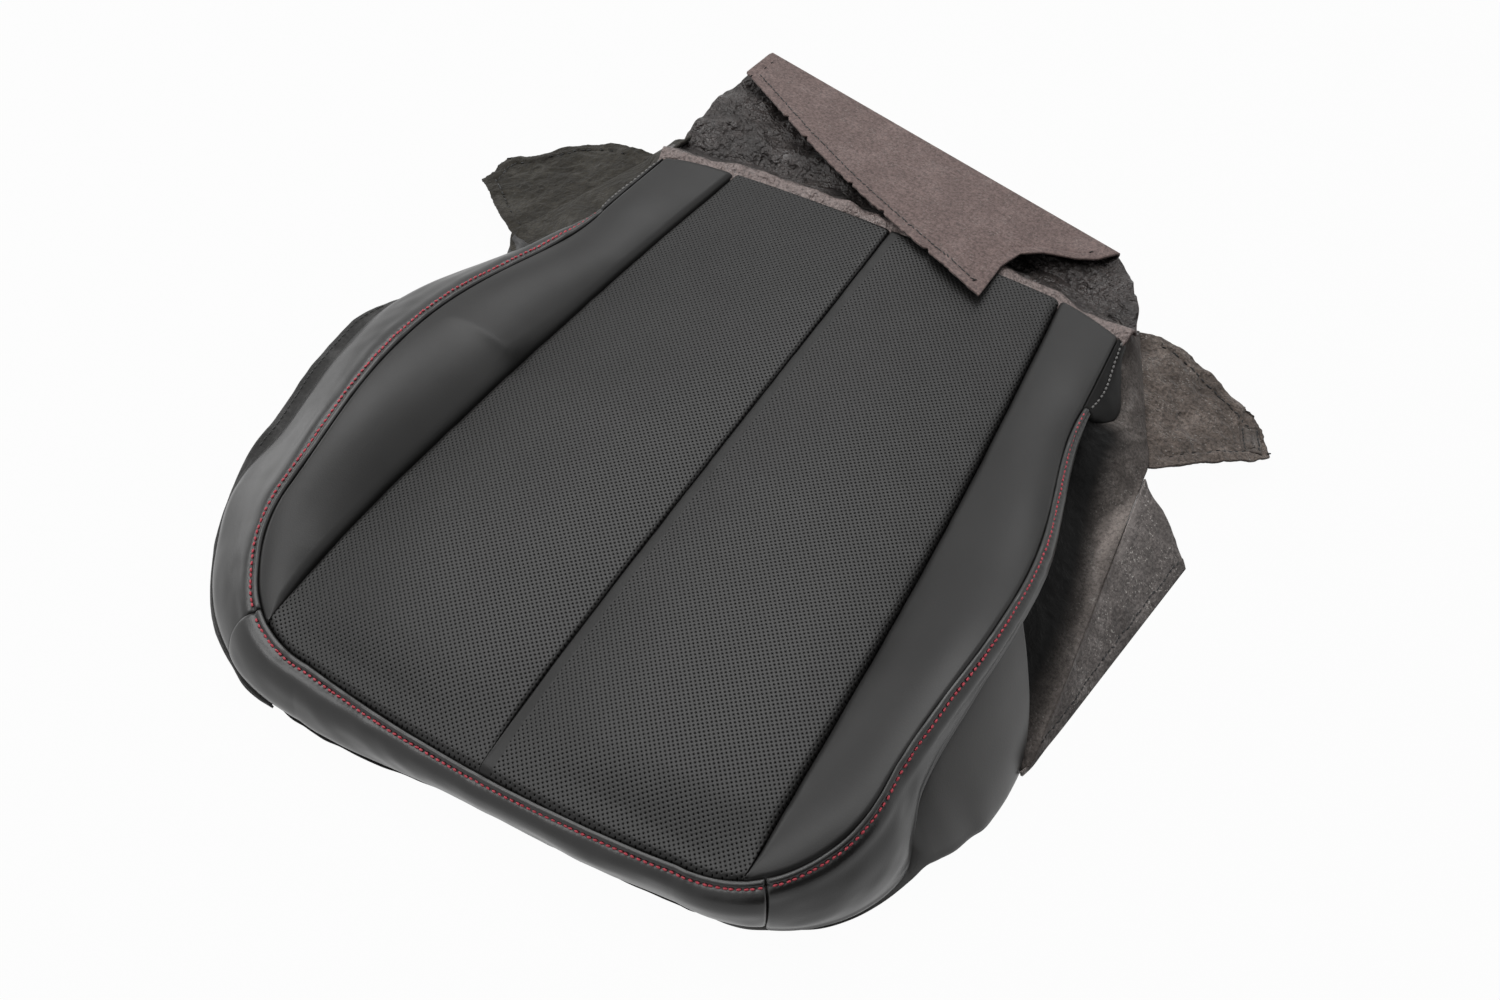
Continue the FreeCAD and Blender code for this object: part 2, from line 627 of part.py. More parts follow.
for side, name in SIDE_NAMES.items():
    stations = list(mirror_stations(insert_stations(), side))
    sections = [skin_section(a, b, MIDDLE_ROLLS, MIDDLE_DROPS, c) for a, b, c in stations]
    skin = Part.makeLoft(sections, True, False)
    foam = Part.makeLoft([foam_section(a, b, MIDDLE_ROLLS, c) for a, b, c in stations], True, False)
    add_piece(f"insert_panel_{name}", inside_front_seam(skin, size("panel_inset")))
    add_piece(f"insert_foam_{name}", inside_front_seam(foam, size("foam_inset")))
    stations = list(mirror_stations(bolster_stations(), side))
    add_loft(f"bolster_panel_{name}", [skin_section(a, b, SIDE_ROLLS, SIDE_DROPS, c) for a, b, c in stations])
    wide = [(a, b, c) for a, b, c in stations if (b - a).Length > size("foam_least_width")]
    add_loft(f"bolster_foam_{name}", [foam_section(a, b, SIDE_ROLLS, c) for a, b, c in wide])


# Borders: side borders run to the corner seams, and the front border joins them
def border_sections(profiles, near, far, trim):
    return [shell_section(profile, near, far, trim) for profile in profiles]


def side_runs():
    behind = [-size("seam_end_y") * share for share in (1, 0.9, 0.75, 0.53, 0.33, 0.13)]
    ahead = [size("corner_centre_y") * share for share in (0.12, 0.37, 0.56, 0.73, 0.87, 1)]
    corners = [corner_run(size("corner_join_angle") * share) for share in (0.15, 0.29, 0.44, 0.58, 0.78)]
    return behind + ahead + corners + [corner_run(size("corner_join_angle")) - size("seam_gap")]


def front_places():
    corner = size("corner_centre_x")
    past = corner_run(90) - corner_run(size("corner_join_angle")) - size("seam_gap")
    half = [corner * share for share in (0, 0.25, 0.5, 0.75, 1)]
    half += [corner + past * share for share in (0.33, 0.67, 1)]
    return [-place for place in reversed(half[1:])] + half


BORDERS = {
    "left": [side_border(LEFT, run) for run in side_runs()],
    "front": [front_border(place) for place in front_places()],
    "right": [side_border(RIGHT, run) for run in side_runs()],
}
FOAM_NEAR = size("skin") + size("bond")
FOAM_FAR = FOAM_NEAR + size("border_foam")
for name, profiles in BORDERS.items():
    add_loft(f"border_{name}", border_sections(profiles, 0, size("skin"), 0), True)
    inside = profiles if name == "front" else profiles[2:]
    add_loft(f"border_foam_{name}", border_sections(inside, FOAM_NEAR, FOAM_FAR, size("foam_trim")), True)


def below(profile):
    """Point just below a border's lower edge."""
    return profile[1] - UP * (size("wall_gap") + size("skin") * end_lean(profile))


def end_lean(profile):
    """How much lower a wall's inner side is at its lower end, as a share of its thickness."""
    chord = (profile[1] - profile[0]).Length
    _, normal = point_on_wall(profile, 2 * wall_radius(profile) * math.asin(chord / 2 / wall_radius(profile)))
    return max(normal.z, 0)


def wall_radius(profile):
    top, bottom, _, bulge = profile
    return ((bottom - top).Length ** 2 / 4 + bulge**2) / (2 * bulge)


def standing(profile, thickness):
    """The same wall with its foot lifted so that no corner of it goes below the floor."""
    top, foot, outward, bulge = profile
    return top, foot + UP * thickness * end_lean(profile), outward, bulge


def wall_borders(side, runs):
    """Border sections above a wall, from the front border's corner stretch back along the side."""
    end = size("corner_centre_x") + corner_run(90) - corner_run(size("corner_join_angle"))
    start = size("corner_centre_x") + (end - size("corner_centre_x")) * size("wall_end_share")
    for share in (0, 0.33, 0.67):
        yield corner_run(90), front_border(side * (start + (end - start) * share))
    for share in (1, 0.85, 0.65, 0.44, 0.22):
        run = corner_run(size("corner_join_angle") * share)
        yield run, side_border(side, run)
    for run in runs:
        yield run, side_border(side, run)


def widest(name):
    """Half width at a place that is measured outward from the red seam's widest."""
    return size("widest_half_width") + size(name)


def corner(name):
    """Half width at a place that is measured outward from the leather's rear corner."""
    return size("rear_corner_half_width") + size(name)


def left_wall():
    """Profiles of the left wall, from its front end back to its rear end under the left tab."""
    runs = [size("corner_centre_y") * share for share in (1, 0.87, 0.73, 0.56, 0.37, 0.12)]
    runs += [-size("left_wall_turn_y") * share for share in (0.21, 0.53, 0.79, 1)]
    full = size("left_wide_low")
    for run, border in wall_borders(LEFT, runs):
        top, outward = below(border), border[2]
        share = top.z / full
        if run > 0:
            reach = (widest("left_wall_foot_reach") - side_half_width(0) - size("left_wide_reach")) * share
            foot = top + outward * reach
        else:
            foot = Vector(-widest("left_wall_foot_reach"), top.y, 0)
        foot.z = 0
        yield top, foot, outward, size("left_wall_bulge") * share
    for share in (-0.12, 0.0, 0.25, 0.5, 0.75, 1.0):
        fold = left_fold(max(share, 0.0))
        top = fold + Vector(size("tab_seam_inset"), 0, -size("cloth") - size("fold_gap"))
        if share < 0:
            top = (below(side_border(LEFT, -size("left_wall_turn_y"))) + top) * 0.5
        foot_x = widest("left_wall_foot_reach")
        foot_x += (corner("left_wall_rear_foot_reach") - foot_x) * max(share, 0.0)
        foot = Vector(-foot_x, top.y, 0)
        yield top, foot, Vector(-1, 0, 0), size("left_wall_rear_bulge")


def left_fold(share):
    """Point of the left tab's fold."""
    front = Vector(-widest("left_tab_front_reach"), size("left_tab_front_y"), size("left_tab_height"))
    rear = Vector(-corner("left_tab_rear_reach"), size("left_tab_rear_y"), size("left_tab_height"))
    return front + (rear - front) * share


def right_fold(share):
    """Point of the right tab's fold."""
    front = Vector(widest("right_tab_front_reach"), size("right_tab_front_y"), size("right_tab_height"))
    rear = Vector(corner("right_tab_rear_reach"), size("right_tab_rear_y"), size("right_tab_height"))
    return front + (rear - front) * share


def right_wall():
    """Profiles of the right wall, from its front end back to its slanted rear end."""
    tops = [size("corner_centre_y") * share for share in (1, 0.87, 0.73, 0.61, 0.47, 0.34, 0.21)]
    tops.append(size("right_wall_top_y"))
    slant = size("right_wall_foot_y") - size("right_wall_top_y")
    narrow = corner_run(size("turn_angle"))
    start = size("notch_y")
    for run, border in wall_borders(RIGHT, tops):
        top, outward = below(border), border[2]
        spread = ease((narrow - run) / (narrow - size("waist_y")))
        front_reach = size("right_wall_front_reach")
        foot = top + outward * (front_reach + (size("right_wall_reach") - front_reach) * spread)
        share = max((start - run) / (start - size("right_wall_top_y")), 0.0)
        foot.y -= slant * share
        foot.z = 0
        yield top, foot, outward, size("right_wall_bulge") * top.z / size("right_wide_low")


walls = [standing(profile, size("cloth")) for profile in left_wall()]
add_loft("outer_panel_left", [shell_section(profile, 0, size("cloth")) for profile in walls], True)
walls = [standing(profile, size("skin")) for profile in right_wall()]
add_loft("outer_panel_right", [shell_section(profile, 0, size("skin")) for profile in walls])


def gusset(side, y):
    """Profile of a rear gusset, below the black seam."""
    point, outward = red_seam(-y)
    share = (y - size("seam_end_y")) / (size("rear_corner_y") - size("seam_end_y"))
    middle = math.sin(math.pi * share)
    reach = size("gusset_end_reach") + (size("gusset_reach") - size("gusset_end_reach")) * middle
    low = size("gusset_end_low") + (size("gusset_low") - size("gusset_end_low")) * middle
    return border_profile(mirrored(point, side), mirrored(outward, side), reach, low, size("gusset_bulge"))


def gusset_places():
    start, end = size("seam_end_y") + 2 * size("seam_gap"), size("rear_corner_y") - size("panel_inset")
    return [start + (end - start) * share for share in (0, 0.25, 0.5, 0.75, 1)]


for side, name in SIDE_NAMES.items():
    profiles = [gusset(side, y) for y in gusset_places()]
    add_loft(f"rear_corner_{name}", border_sections(profiles, 0, size("skin"), 0), True)


def cloth_top(side, y):
    """Point where a side cloth starts, below the border, the gusset or the rear band."""
    if y < size("seam_end_y"):
        return below(side_border(side, -y))
    if y < size("rear_corner_y"):
        return below(gusset(side, y))
    start = below(gusset(side, size("rear_corner_y") - size("panel_inset")))
    end = band_line(side)
    share = (y - size("rear_corner_y")) / (end.y - size("rear_corner_y"))
    return start + (end - start) * share


def band_line(side):
    """Point on the rear band's side edge where the side cloth ends, below the band."""
    start, end = band_ends(side)
    share = size("band_sewn_share")
    sag = size("band_sag") * 4 * share * (1 - share)
    point = start + (end - start) * share
    return point - UP * (sag + size("cloth") + size("fold_gap"))


def band_ends(side, share=1.0):
    """Points on the leather's rear edge and on the rear flap's fold, at a share of the way to one side."""
    half = size("band_half_width") * share
    deep, deep_height = size("trench_rear_half_width"), deep_seam(size("trench_rear_y")).z
    middle_height = middle_seam(size("rear_edge_y")).z
    if half < deep:
        y = size("rear_edge_y") + (size("trench_rear_y") - size("rear_edge_y")) * half / deep
        height = middle_height + (deep_height - middle_height) * half / deep
    else:
        past = (half - deep) / (size("rear_corner_half_width") - deep)
        y = size("trench_rear_y") + (size("rear_corner_y") - size("trench_rear_y")) * past
        height = deep_height + (size("rear_corner_height") - deep_height) * past
    start = Vector(side * half, y + size("band_gap"), height - size("band_drop"))
    left = Vector(-size("fold_left_x"), size("fold_left_y"), size("fold_height") - size("fold_lift"))
    right = Vector(size("fold_right_x"), size("fold_right_y"), size("fold_height") - size("fold_lift"))
    place = (1 + side * share) / 2
    fold = left + (right - left) * place
    return start, fold + fold_inward() * size("fold_gap")


def fold_inward():
    """Level direction from the rear flap's fold towards the seat."""
    along = Vector(size("fold_left_x") + size("fold_right_x"), size("fold_right_y") - size("fold_left_y"), 0)
    along.normalize()
    return Vector(along.y, -along.x, 0)


sections = []
for side, share in [(LEFT, 1), (LEFT, 0.85), (LEFT, 0.7), (LEFT, 0.35), (RIGHT, 0)]:
    sections.append(shell_section((*band_ends(side, share), UP, -size("band_sag")), 0, size("cloth")))
for share in (0.35, 0.7, 0.85, 1):
    sections.append(shell_section((*band_ends(RIGHT, share), UP, -size("band_sag")), 0, size("cloth")))
add_loft("rear_band", sections, True)


def side_cloth(side, tops, folds):
    """Sections of a side cloth, from its upper edge to its folds."""
    for y, fold in zip(tops, folds):
        foot = fold + UP * size("fold_gap")
        bulge = size("side_cloth_bulge" if y < size("seam_end_y") else "tab_cloth_bulge")
        profile = (cloth_top(side, y), foot, Vector(side, 0, 0), bulge)
        if y < -size("right_wall_top_y") + 2 * size("cloth"):
            profile = (*profile[:2], side_border(side, -y)[2], size("right_wall_bulge"))
        yield shell_section(profile, 0, size("cloth"))


turn_y = size("left_wall_turn_y") + 3
left_tops = [turn_y, 118, 140, *gusset_places(), band_line(LEFT).y]
left_folds = [left_fold(share) for share in (0.0, 0.12, 0.27, 0.35, 0.47, 0.6, 0.74, 0.87, 1.0)]
add_loft("side_cloth_left", list(side_cloth(LEFT, left_tops, left_folds)), True)


def skirt_fold(share):
    """Point of the fold between the right side cloth and the skirt."""
    front = Vector(widest("skirt_front_reach"), -size("skirt_front_y"), size("skirt_front_height"))
    ridge = Vector(widest("skirt_ridge_reach"), -size("skirt_ridge_y"), size("skirt_ridge_height"))
    rear = Vector(widest("skirt_rear_reach"), size("skirt_rear_y"), size("skirt_rear_height"))
    bend = size("skirt_ridge_share")
    if share < bend:
        return front + (ridge - front) * (share / bend)
    return ridge + (rear - ridge) * ((share - bend) / (1 - bend))


top_y = size("right_wall_top_y") - size("cloth")
right_tops = [-top_y, 4, 20, 45, 75, 105, 135, *gusset_places(), band_line(RIGHT).y]
right_folds = [skirt_fold(share) for share in (0.0, 0.12, 0.25, 0.4, 0.6, 0.8, 1.0)]
right_folds += [right_fold(share) for share in (0.0, 0.18, 0.36, 0.54, 0.78, 1.0)]
add_loft("side_cloth_right", list(side_cloth(RIGHT, right_tops, right_folds)), True)

sections = []
for share in (0.0, 0.12, 0.25, 0.4, 0.6, 0.8, 1.0):
    fold = skirt_fold(share) - UP * size("fold_gap")
    front = Vector(widest("skirt_hem_front_reach"), -size("skirt_hem_front_y"), 0)
    rear = Vector(widest("skirt_hem_rear_reach"), size("skirt_hem_rear_y"), 0)
    bulge = size("skirt_bulge") * fold.z / size("skirt_rear_height")
    profile = (fold, front + (rear - front) * share, Vector(1, 0, 0), bulge)
    sections.append(shell_section(standing(profile, size("cloth")), 0, size("cloth")))
add_loft("skirt_right", sections)

# Front hem: a flat strip on the floor below the front border's lower edge
def curve_through(points):
    curve = Part.BSplineCurve()
    curve.interpolate(points)
    return curve.toShape()


outside, inside = [], []
for share in (-1, -0.85, -0.6, -0.3, 0, 0.3, 0.6, 0.85, 1):
    top, bottom, outward, bulge = front_border(share * size("front_hem_reach"))
    edge = bottom + outward * size("front_hem_show")
    outside.append(Vector(edge.x, edge.y, 0))
    inside.append(outside[-1] - outward * size("front_hem_width"))
outline = closed(curve_through(outside), curve_through(inside))
add_piece("front_hem", Part.Face(outline).extrude(UP * size("front_hem_thickness")))


def add_body(label):
    body = doc.addObject("PartDesign::Body", label)
    body.Label = label
    pieces.append(body)
    return body


def add_sketch(body, label, role):
    """Empty sketch on one of a body's own planes."""
    plane = next(feature for feature in body.Origin.OriginFeatures if feature.Role == role)
    sketch = body.newObject("Sketcher::SketchObject", label)
    sketch.AttachmentSupport = [(plane, "")]
    sketch.MapMode = "FlatFace"
    return sketch


def fix(sketch, key, name, expression):
    sketch.renameConstraint(key, name)
    sketch.setExpression(f"Constraints.{name}", expression)


def add_flap(label, origin, along, outward):
    """Flat flap with its outline in a sketch: x along the fold, y away from it."""
    body = add_body(label)
    outline = add_sketch(body, f"{label}_outline", "XY_Plane")
    names = [f"{label}_corner_{number}" for number in range(1, len(OUTLINES[label]) + 1)]
    corners = [Vector(0, 0, 0)] + [Vector(size(f"{name}_along"), size(f"{name}_out"), 0) for name in names]
    count = len(corners)
    for number in range(count):
        outline.addGeometry(Part.LineSegment(corners[number], corners[(number + 1) % count]), False)
    for number in range(count):
        outline.addConstraint(Sketcher.Constraint("Coincident", number, 2, (number + 1) % count, 1))
    outline.addConstraint(Sketcher.Constraint("Coincident", 0, 1, -1, 1))
    for number, name in enumerate(names, start=1):
        for kind, measure in (("DistanceX", "along"), ("DistanceY", "out")):
            value = size(f"{name}_{measure}")
            key = outline.addConstraint(Sketcher.Constraint(kind, -1, 1, number, 1, value))
            fix(outline, key, f"{name}_{measure}", f"Sizes.{name}_{measure}")
    pad = body.newObject("PartDesign::Pad", f"{label}_pad")
    pad.Profile = outline
    pad.setExpression("Length", "Sizes.cloth")
    rotation = FreeCAD.Rotation(along, outward, along.cross(outward), "XYZ")
    body.Placement = FreeCAD.Placement(origin, rotation)
    doc.recompute()
    return body


def add_hem(label, flap, depth):
    """Strip along a flap's free edge, at a height in the flap's own frame, its ends short of the fold."""
    names = [f"{flap.Label}_corner_{number}" for number in range(1, len(OUTLINES[flap.Label]) + 1)]
    corners = [Vector(size(f"{name}_along"), size(f"{name}_out"), depth) for name in names]
    last = corners[-1].x
    outline = Part.makePolygon([Vector(0, 0, depth)] + corners + [Vector(0, 0, depth)])
    outer = Part.Face(outline).makeOffset2D(-size("hem_inset"), 2)
    inner = Part.Face(outline).makeOffset2D(-size("hem_inset") - size("hem_width"), 2)
    strip = outer.cut(inner)
    solid = strip.extrude(UP * size("hem_thickness"))
    root = Vector(-last / 2, -size("hem_width"), depth - size("cloth"))
    reach = size("hem_root_gap") + size("hem_width")
    clear = Part.makeBox(2 * last, reach, 2 * size("cloth") + size("hem_thickness"), root)
    solid = solid.cut(clear)
    solid = max(solid.Solids, key=lambda part: part.Volume)
    return add_piece(label, solid, flap.Placement)


# Rear flap: it lies folded forward over the band, and rises a little towards the seat
flap_left = Vector(-size("fold_left_x"), size("fold_left_y"), size("fold_height"))
flap_right = Vector(size("fold_right_x"), size("fold_right_y"), size("fold_height"))
fold_along = flap_left - flap_right
fold_along.normalize()
slope = math.radians(size("flap_rise_angle"))
flap_outward = fold_inward() * math.cos(slope) + UP * math.sin(slope)
flap_up = fold_along.cross(flap_outward)
rear_flap = add_flap("rear_flap", flap_right + flap_up * size("fold_lift"), fold_along, flap_outward)
add_hem("rear_flap_hem", rear_flap, size("cloth") + size("hem_gap"))


def tab_axes(start, end, side):
    """Direction along a tab's fold and direction out along the tab."""
    along = end - start
    along.normalize()
    level = Vector(along.y, -along.x, 0)
    if level.x * side < 0:
        level = level * -1
    fall = math.radians(size("tab_fall_angle"))
    return along, level * math.cos(fall) - UP * math.sin(fall)


for name, start, end, side in (
    ("tab_left", left_fold(0.0), left_fold(1.0), LEFT),
    ("tab_right", right_fold(1.0), right_fold(0.0), RIGHT),
):
    along, outward = tab_axes(start, end, side)
    tab = add_flap(name, start - along.cross(outward) * size("cloth"), along, outward)
    add_hem(f"{name}_hem", tab, -size("hem_gap") - size("hem_thickness"))

patch = Part.makeBox(
    size("patch_length"),
    size("patch_width"),
    size("hem_thickness"),
    Vector(size("patch_u"), size("patch_v"), size("cloth") + size("hem_gap")),
)
add_piece("tab_right_patch", patch, tab.Placement)


# Listing sleeves and wires: the wire's path is an arc below the seam, and a web joins tunnel and seam
def listing_path(seam, drop):
    """Front end, middle and rear end of the tunnel's centre line."""
    front, rear = -size("sleeve_front_y"), size("sleeve_rear_y")
    places = (front, (front + rear) / 2, rear)
    return [seam(y) - UP * (drop + size("sleeve_depth")) for y in places]


SLEEVE_SHARES = (0, 0.14, 0.28, 0.42, 0.56, 0.7, 0.85, 1)


def sleeve_section(centre, top):
    """Outer section of a sleeve: the tunnel's round wall and the web up to the seam."""
    radius = size("sleeve_bore") + size("sleeve_wall")
    half = size("sleeve_web") / 2
    shoulder = math.sqrt(radius**2 - half**2)
    right, left = centre + Vector(half, 0, shoulder), centre + Vector(-half, 0, shoulder)
    top_right, top_left = top + Vector(half, 0, 0), top - Vector(half, 0, 0)
    return Part.Wire(
        [
            Part.LineSegment(top_left, left).toShape(),
            Part.Arc(left, centre - UP * radius, right).toShape(),
            Part.LineSegment(right, top_right).toShape(),
            Part.LineSegment(top_right, top_left).toShape(),
        ]
    )


def add_sleeve(label, seam, drop):
    path = Part.Arc(*listing_path(seam, drop))
    outer, bore = [], []
    for share in SLEEVE_SHARES:
        centre = path.value(path.FirstParameter + (path.LastParameter - path.FirstParameter) * share)
        top = seam(centre.y) - UP * (drop + size("web_gap"))
        top.x = centre.x
        outer.append(sleeve_section(centre, top))
        bore.append(Part.Wire([Part.makeCircle(size("sleeve_bore"), centre, Vector(0, 1, 0))]))
    return add_piece(label, Part.makeLoft(outer, True, False).cut(Part.makeLoft(bore, True, False)))


def add_wire(label, seam, drop):
    """Listing wire: an arc in the plane of its sketch, with its ends free of the sleeve."""
    front, middle, rear = listing_path(seam, drop)
    chord = rear - front
    along = chord * (1 / chord.Length)
    rise = middle - front - along * (middle - front).dot(along)
    bow = rise.Length
    sideways = rise * (1 / bow)
    body = add_body(label)
    path = add_sketch(body, f"{label}_path", "XY_Plane")
    radius = (chord.Length**2 / 4 + bow**2) / (2 * bow)
    reach = chord.Length / 2 + size("wire_end")
    end_rise = bow - radius + math.sqrt(radius**2 - reach**2)
    start, peak, end = Vector(0, 0, 0), Vector(reach, bow - end_rise, 0), Vector(2 * reach, 0, 0)
    path.addGeometry(Part.Arc(start, peak, end), False)
    path.addConstraint(Sketcher.Constraint("Coincident", 0, 2 if radius > 0 else 1, -1, 1))
    ring = add_sketch(body, f"{label}_ring", "YZ_Plane")
    ring.addGeometry(Part.Circle(Vector(0, 0, 0), UP, size("wire_radius")), False)
    ring.addConstraint(Sketcher.Constraint("Coincident", 0, 3, -1, 1))
    key = ring.addConstraint(Sketcher.Constraint("Radius", 0, size("wire_radius")))
    fix(ring, key, "wire_radius", "Sizes.wire_radius")
    pipe = body.newObject("PartDesign::AdditivePipe", f"{label}_pipe")
    pipe.Profile = ring
    pipe.Spine = path
    origin = front - along * size("wire_end") + sideways * end_rise
    rotation = FreeCAD.Rotation(along, sideways, along.cross(sideways), "XYZ")
    body.Placement = FreeCAD.Placement(origin, rotation)
    doc.recompute()


def left_deep_seam(y):
    return mirrored(deep_seam(y), LEFT)


for name, seam, drop in (
    ("left", left_deep_seam, size("trench_drop")),
    ("centre", middle_seam, size("middle_drop")),
    ("right", deep_seam, size("trench_drop")),
):
    add_sleeve(f"listing_sleeve_{name}", seam, drop)
    add_wire(f"listing_wire_{name}", seam, drop)

# Hook strip: a J of plastic, on the front hem
hook = add_body("hook_strip_front")
section = add_sketch(hook, "hook_section", "YZ_Plane")
corners = [
    (0, 0, "", ""),
    (0, size("hook_height"), "", "hook_height"),
    (size("hook_wall"), size("hook_height"), "hook_wall", "hook_height"),
    (size("hook_wall"), size("hook_wall"), "hook_wall", "hook_wall"),
    (size("hook_width") - size("hook_wall"), size("hook_wall"), "hook_width - Sizes.hook_wall", "hook_wall"),
    (size("hook_width") - size("hook_wall"), size("hook_lip"), "hook_width - Sizes.hook_wall", "hook_lip"),
    (size("hook_width"), size("hook_lip"), "hook_width", "hook_lip"),
    (size("hook_width"), 0, "hook_width", ""),
]
count = len(corners)
for number in range(count):
    start, end = corners[number], corners[(number + 1) % count]
    section.addGeometry(Part.LineSegment(Vector(*start[:2], 0), Vector(*end[:2], 0)), False)
for number in range(count):
    section.addConstraint(Sketcher.Constraint("Coincident", number, 2, (number + 1) % count, 1))
section.addConstraint(Sketcher.Constraint("Coincident", 0, 1, -1, 1))
for number, (across, height, across_size, height_size) in enumerate(corners):
    for kind, value, name in (("DistanceX", across, across_size), ("DistanceY", height, height_size)):
        if name:
            key = section.addConstraint(Sketcher.Constraint(kind, -1, 1, number, 1, value))
            fix(section, key, f"corner_{number}_{kind}", f"Sizes.{name}")
section.addConstraint(Sketcher.Constraint("PointOnObject", 1, 1, -2))
section.addConstraint(Sketcher.Constraint("PointOnObject", 7, 1, -1))
pad = hook.newObject("PartDesign::Pad", "hook_pad")
pad.Profile = section
pad.setExpression("Length", "Sizes.hook_length")
pad.Midplane = True
hook.setExpression("Placement.Base.y", "-Sizes.hook_y")
hook.setExpression("Placement.Base.z", "Sizes.front_hem_thickness + Sizes.hook_lift")
doc.recompute()


# Stitches: short bars over the surface, each group along its seam
def stitch(place, along, normal):
    across = normal.cross(along)
    length, width, depth = size("stitch_length"), size("stitch_width"), size("stitch_depth")
    bar = Part.makeBox(length, width, depth, Vector(-length / 2, -width / 2, size("stitch_lift")))
    bar.Placement = FreeCAD.Placement(place, FreeCAD.Rotation(along, across, normal, "XYZ"))
    return bar


def point_between(places, profiles, place, inset):
    """Point and normal on a wall made of straight stretches between its sections."""
    last = len(places) - 2
    index = next((number for number in range(last) if place <= places[number + 1]), last)
    share = (place - places[index]) / (places[index + 1] - places[index])
    start, start_normal = point_on_wall(profiles[index], inset)
    end, end_normal = point_on_wall(profiles[index + 1], inset)
    normal = start_normal + (end_normal - start_normal) * share
    normal.normalize()
    return start + (end - start) * share, normal


def stitch_row(places, profiles, start, end, inset):
    """Stitches at equal steps of a wall's surface, between two places of the seam."""
    bars = []
    place = start + size("stitch_pitch")
    while place < end - size("stitch_pitch") / 2:
        point, normal = point_between(places, profiles, place, inset)
        ahead, _ = point_between(places, profiles, place + 1, inset)
        behind, _ = point_between(places, profiles, place - 1, inset)
        step = ahead - behind
        along = step - normal * step.dot(normal)
        along.normalize()
        bars.append(stitch(point, along, normal))
        place += size("stitch_pitch") * 2 / step.Length
    return Part.makeCompound(bars)


side_start, side_end = -size("seam_end_y"), corner_run(size("corner_join_angle"))
front_end = size("corner_centre_x") + corner_run(90) - side_end
for name, places, start, end in (
    ("left", side_runs(), side_start, side_end),
    ("front", front_places(), -front_end, front_end),
    ("right", side_runs(), side_start, side_end),
):
    row = stitch_row(places, BORDERS[name], start, end, size("stitch_inset"))
    add_piece(f"red_topstitch_{name}", row)
places = list(gusset_places())
for side, name in SIDE_NAMES.items():
    profiles = [gusset(side, y) for y in places]
    row = stitch_row(places, profiles, places[0], places[-1], size("corner_stitch_inset"))
    add_piece(f"corner_stitch_{name}", row)

doc.recompute()
os.makedirs("parts", exist_ok=True)
for piece in pieces:
    shape = piece.Shape
    if "Invalid" in piece.State or "Error" in piece.State or shape.isNull() or not shape.isValid():
        raise RuntimeError(f"{piece.Label}: {piece.State}")
    shape.exportStep(f"parts/{piece.Label}.step")
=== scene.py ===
"""Looks of a car seat cushion cover, taken off its seat.

It is sewn from leather panels with red topstitching, and from nonwoven cloth. Lengths are in millimetres
until a mesh is made. +Z is up, the front edge faces -Y and x = 0 is the middle.
"""

import math

import bpy
import numpy as np
from mathutils import Matrix, Vector


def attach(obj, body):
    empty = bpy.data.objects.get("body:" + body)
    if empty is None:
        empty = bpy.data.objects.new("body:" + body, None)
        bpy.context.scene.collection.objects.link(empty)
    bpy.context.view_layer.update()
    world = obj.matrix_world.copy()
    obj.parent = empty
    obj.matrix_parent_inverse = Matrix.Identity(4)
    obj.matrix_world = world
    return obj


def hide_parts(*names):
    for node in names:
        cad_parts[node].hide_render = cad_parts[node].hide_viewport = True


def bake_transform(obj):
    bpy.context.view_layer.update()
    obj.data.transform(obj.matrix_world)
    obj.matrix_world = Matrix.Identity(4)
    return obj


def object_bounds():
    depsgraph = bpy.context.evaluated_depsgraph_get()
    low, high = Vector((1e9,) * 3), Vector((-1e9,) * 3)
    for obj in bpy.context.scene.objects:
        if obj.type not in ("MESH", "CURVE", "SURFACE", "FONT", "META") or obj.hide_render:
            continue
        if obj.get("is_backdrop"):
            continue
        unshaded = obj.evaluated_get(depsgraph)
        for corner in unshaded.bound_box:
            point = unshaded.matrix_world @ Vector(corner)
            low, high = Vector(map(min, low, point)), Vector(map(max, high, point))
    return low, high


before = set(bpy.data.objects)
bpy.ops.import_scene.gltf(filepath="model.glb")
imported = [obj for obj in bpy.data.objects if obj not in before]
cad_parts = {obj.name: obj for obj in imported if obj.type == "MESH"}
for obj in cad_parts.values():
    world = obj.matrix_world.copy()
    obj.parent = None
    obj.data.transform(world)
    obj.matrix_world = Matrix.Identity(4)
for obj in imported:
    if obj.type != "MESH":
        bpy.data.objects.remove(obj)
cad_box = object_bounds()
MM = 0.001
LEFT, FRONT, RIGHT = -1, 0, 1
SIDE_NAMES = {LEFT: "left", FRONT: "front", RIGHT: "right"}
UP = np.array([0.0, 0.0, 1.0])
bpy.ops.object.select_all(action="DESELECT")


# Plain maths
def ease(share):
    share = np.clip(share, 0.0, 1.0)
    return share * share * (3 - 2 * share)


def between(keys, place):
    """Smooth values at places, from a list of (place, value)."""
    result = np.full(np.shape(place), float(keys[0][1]))
    for (start, low), (end, high) in zip(keys, keys[1:]):
        result = result + (high - low) * ease((place - start) / (end - start))
    return result


def with_slopes(places, values, slopes, at):
    """Smooth values or points through given ones that have the given slopes."""
    index = np.clip(np.searchsorted(places, at, side="right") - 1, 0, len(places) - 2)
    step = places[index + 1] - places[index]
    share = (at - places[index]) / step
    if values.ndim > 1:
        step, share = step[:, None], share[:, None]
    bend = slopes[index] * share * (1 - share) ** 2 - slopes[index + 1] * share**2 * (1 - share)
    return values[index] * (1 - ease(share)) + values[index + 1] * ease(share) + bend * step


